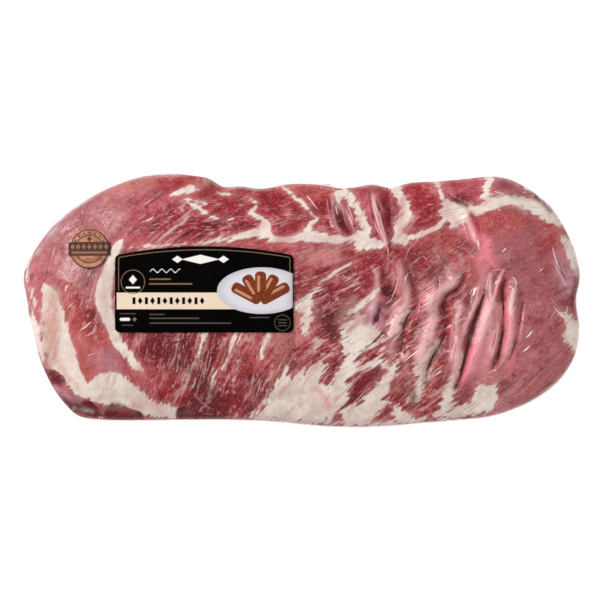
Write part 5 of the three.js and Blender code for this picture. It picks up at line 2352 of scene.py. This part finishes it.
@dataclass
class Sticker:
    """A thin sheet that lies on the film, with a plan outline of its own."""

    form: RackForm
    centre: Plan
    thickness: float = 0.6
    gap: float = 0.35
    rings: int = 16

    def mesh(self, outline: Array) -> tuple[Array, Faces]:
        """A closed sheet inside an outline, fine enough to follow the film.

        Args:
            outline: Plan points about the sheet's centre, counter-clockwise.

        Returns:
            Its points and faces.
        """
        shares = np.linspace(1, 0, self.rings, endpoint=False)
        plan = np.vstack([outline * share for share in shares] + [np.zeros((1, 2))])
        plan = plan + np.array(self.centre)
        height = self.form.top_height(plan) + self.gap
        count = len(outline)
        total = len(plan)
        upper = np.column_stack([plan, height + self.thickness])
        lower = np.column_stack([plan, height])
        faces: Faces = []
        for ring in range(self.rings - 1):
            outer = np.arange(count) + ring * count
            faces += band_faces(outer + count, outer)
        last = np.arange(count) + (self.rings - 1) * count
        faces += [(int(a), int(b), total - 1) for a, b in zip(last, np.roll(last, -1))]
        under = [tuple(index + total for index in face[::-1]) for face in faces]
        edge = band_faces(np.arange(count), np.arange(count) + total)
        return np.vstack([upper, lower]), faces + under + edge


@dataclass
class FrontLabel(Sticker):
    """The large label with an arched top edge."""

    width: float = 139.5
    height: float = 67.5
    arch: float = 6.5
    corner: float = 4.0
    rings: int = 24
    edge_points: int = 300

    CORNER_POINTS = 9  # of each round corner
    CROWN_POINTS = 80  # of the curved top edge, with its ends

    def build(self) -> Object:
        """The label, printed.

        Returns:
            The piece.
        """
        points, faces = self.mesh(self._outline())
        half = (self.width / 2, self.height / 2)
        finish = LabelFinish(self.centre, half, self.arch, self.corner)
        return make_piece("printed_label", points, faces, finish)

    def _arc(self, x: float, y: float, start: float, end: float) -> Array:
        """A round corner about a plan point, from one angle to another."""
        angles = np.linspace(start, end, self.CORNER_POINTS)
        return np.column_stack([x + self.corner * np.cos(angles), y + self.corner * np.sin(angles)])

    def _outline(self) -> Array:
        """Its plan outline: round corners, straight sides and a curved top edge.

        Returns:
            Points about its centre, one a row.
        """
        r = self.corner
        across = self.width / 2 - r
        low = -self.height / 2 + r
        high = self.height / 2 - self.arch - r
        slope = math.atan(2 * self.arch / across)
        right_top = self._arc(across, high, 0, 0.5 * math.pi - slope)
        left_top = self._arc(-across, high, 0.5 * math.pi + slope, math.pi)
        t = np.linspace(0, 1, self.CROWN_POINTS)[1:-1, None]
        crown = np.array([0, high + r + 2 * self.arch])
        top = right_top[-1] * (1 - t) ** 2 + crown * 2 * t * (1 - t) + left_top[0] * t**2
        left_low = self._arc(-across, low, math.pi, 1.5 * math.pi)
        right_low = self._arc(across, low, 1.5 * math.pi, 2 * math.pi)
        return resample(np.vstack([left_low, right_low, right_top, top, left_top]), self.edge_points)


@dataclass
class RoundSeal(Sticker):
    """The small round seal with a banner across it."""

    radius: float = 15.5
    banner: Plan = (16.5, 5.5)  # half its width and height
    rings: int = 10
    edge_points: int = 180

    def build(self) -> Object:
        """The seal, printed.

        Returns:
            The piece.
        """
        angles = -0.75 * math.pi + np.linspace(0, 2 * math.pi, self.edge_points, endpoint=False)
        width, height = self.banner
        on_banner = np.abs(np.tan(angles)) < height / width
        radius = np.where(on_banner, width / np.abs(np.cos(angles)), self.radius)
        outline = np.column_stack([radius * np.cos(angles), radius * np.sin(angles)])
        points, faces = self.mesh(outline)
        return make_piece("printed_seal", points, faces, SealFinish(self.centre, self.radius, self.banner))


def resample(outline: Array, count: int) -> Array:
    """Evenly spaced points along a closed outline.

    Args:
        outline: Its points, the first not repeated.
        count: How many points to give back.

    Returns:
        The points, one a row.
    """
    closed = np.vstack([outline, outline[:1]])
    lengths = run_lengths(closed)
    wanted = np.arange(count) / count * lengths[-1]
    return np.column_stack([np.interp(wanted, lengths, closed[:, k]) for k in (0, 1)])


# --- Studio ---


@dataclass
class Studio:
    """A white floor, soft light from the upper left and a long lens looking straight down."""

    aim: Triple = (-0.0012, 0.0004, 0.018)
    distance: float = 3.0
    view_width: float = 0.472  # what the view spans at the aim
    sensor: float = 36.0
    ambient: float = 0.2
    warmth: Triple = (1.0, 0.955, 0.955)
    sweep: float = 4000.0  # half the floor's sides

    def build(self) -> None:
        """Makes the floor, the lights and the camera."""
        self._floor()
        for name, place, size, power in (
            ("key", (-1.7, 1.2, 1.7), 1.4, 66.0),
            ("overhead", (0.3, -0.2, 3.4), 2.4, 28.0),
            ("fill", (2.0, -1.3, 1.9), 2.6, 27.0),
        ):
            self._light(name, place, size, power).visible_glossy = False
        self._light("glints", (-1.5, 1.2, 2.2), 0.6, 42.0).visible_diffuse = False
        self._world()
        self._camera()
        bpy.context.scene.view_settings.view_transform = "Standard"

    def _floor(self) -> None:
        """The floor, large enough to fill any view."""
        corners = self.sweep * np.array([(-1, -1, 0), (1, -1, 0), (1, 1, 0), (-1, 1, 0)])
        floor = make_piece("floor", corners, [(0, 1, 2, 3)], FloorFinish())

    def _light(self, name: str, place: Triple, size: float, power: float) -> Object:
        """A soft square light that faces the pack.

        Args:
            name: Its name.
            place: Where it hangs, in metres.
            size: Length of its sides.
            power: Its power in watts.

        Returns:
            The light.
        """
        data = bpy.data.lights.new(name, "AREA")
        data.shape = "SQUARE"
        data.size = size
        data.energy = power
        data.color = self.warmth
        light = bpy.data.objects.new(name, data)
        light.location = place
        light.rotation_euler = light.location.to_track_quat("Z", "Y").to_euler()
        bpy.context.scene.collection.objects.link(light)
        return light

    def _world(self) -> None:
        """Even light from all round."""
        world = bpy.data.worlds.new("studio")
        world.use_nodes = True
        background = world.node_tree.nodes["Background"]
        background.inputs["Color"].default_value = (1, 1, 1, 1)
        background.inputs["Strength"].default_value = self.ambient
        bpy.context.scene.world = world

    def _camera(self) -> None:
        """The camera over the pack, with +Y up in its view."""
        data = bpy.data.cameras.new("camera")
        data.sensor_width = self.sensor
        data.lens = self.distance * self.sensor / self.view_width
        camera = bpy.data.objects.new("camera", data)
        camera.location = (self.aim[0], self.aim[1], self.aim[2] + self.distance)
        bpy.context.scene.collection.objects.link(camera)
        bpy.context.scene.camera = camera


def adopt(piece: Object, node: str) -> None:
    """Attaches a piece to the root body and hides the imported node that it stands for.

    Args:
        piece: The piece.
        node: The node that it replaces.
    """
    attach(piece, "root")
    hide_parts(node)
    piece.data.calc_loop_triangles()
    log.info("%s: %d triangles", piece.name, len(piece.data.loop_triangles))


def main() -> None:
    """Builds the pack and its studio."""
    logging.basicConfig(level=logging.INFO, format="%(name)s %(message)s")
    form = RackForm()
    marbling = Marbling(form)
    rack = RibRack(form, marbling)
    fat_and_painted_fold_thread_maker = FatAndPaintedFoldThreads(form, lift=-0.75, raised=0.5, marbling=marbling)
    painted_crease_glints = FilmCreaseGlints(form, lift=-0.08, raised=0.3)
    for build in (rack.build_meat, fat_and_painted_fold_thread_maker.build_all, rack.build_film, painted_crease_glints.build_all):
        adopt(build(), "sealed_rib_rack")
    adopt(FrontLabel(form, (-76, 8.7)).build(), "front_label")
    adopt(RoundSeal(form, (-166, 40.4)).build(), "round_seal")
    Studio().build()


if __name__ == "__main__":
    main()
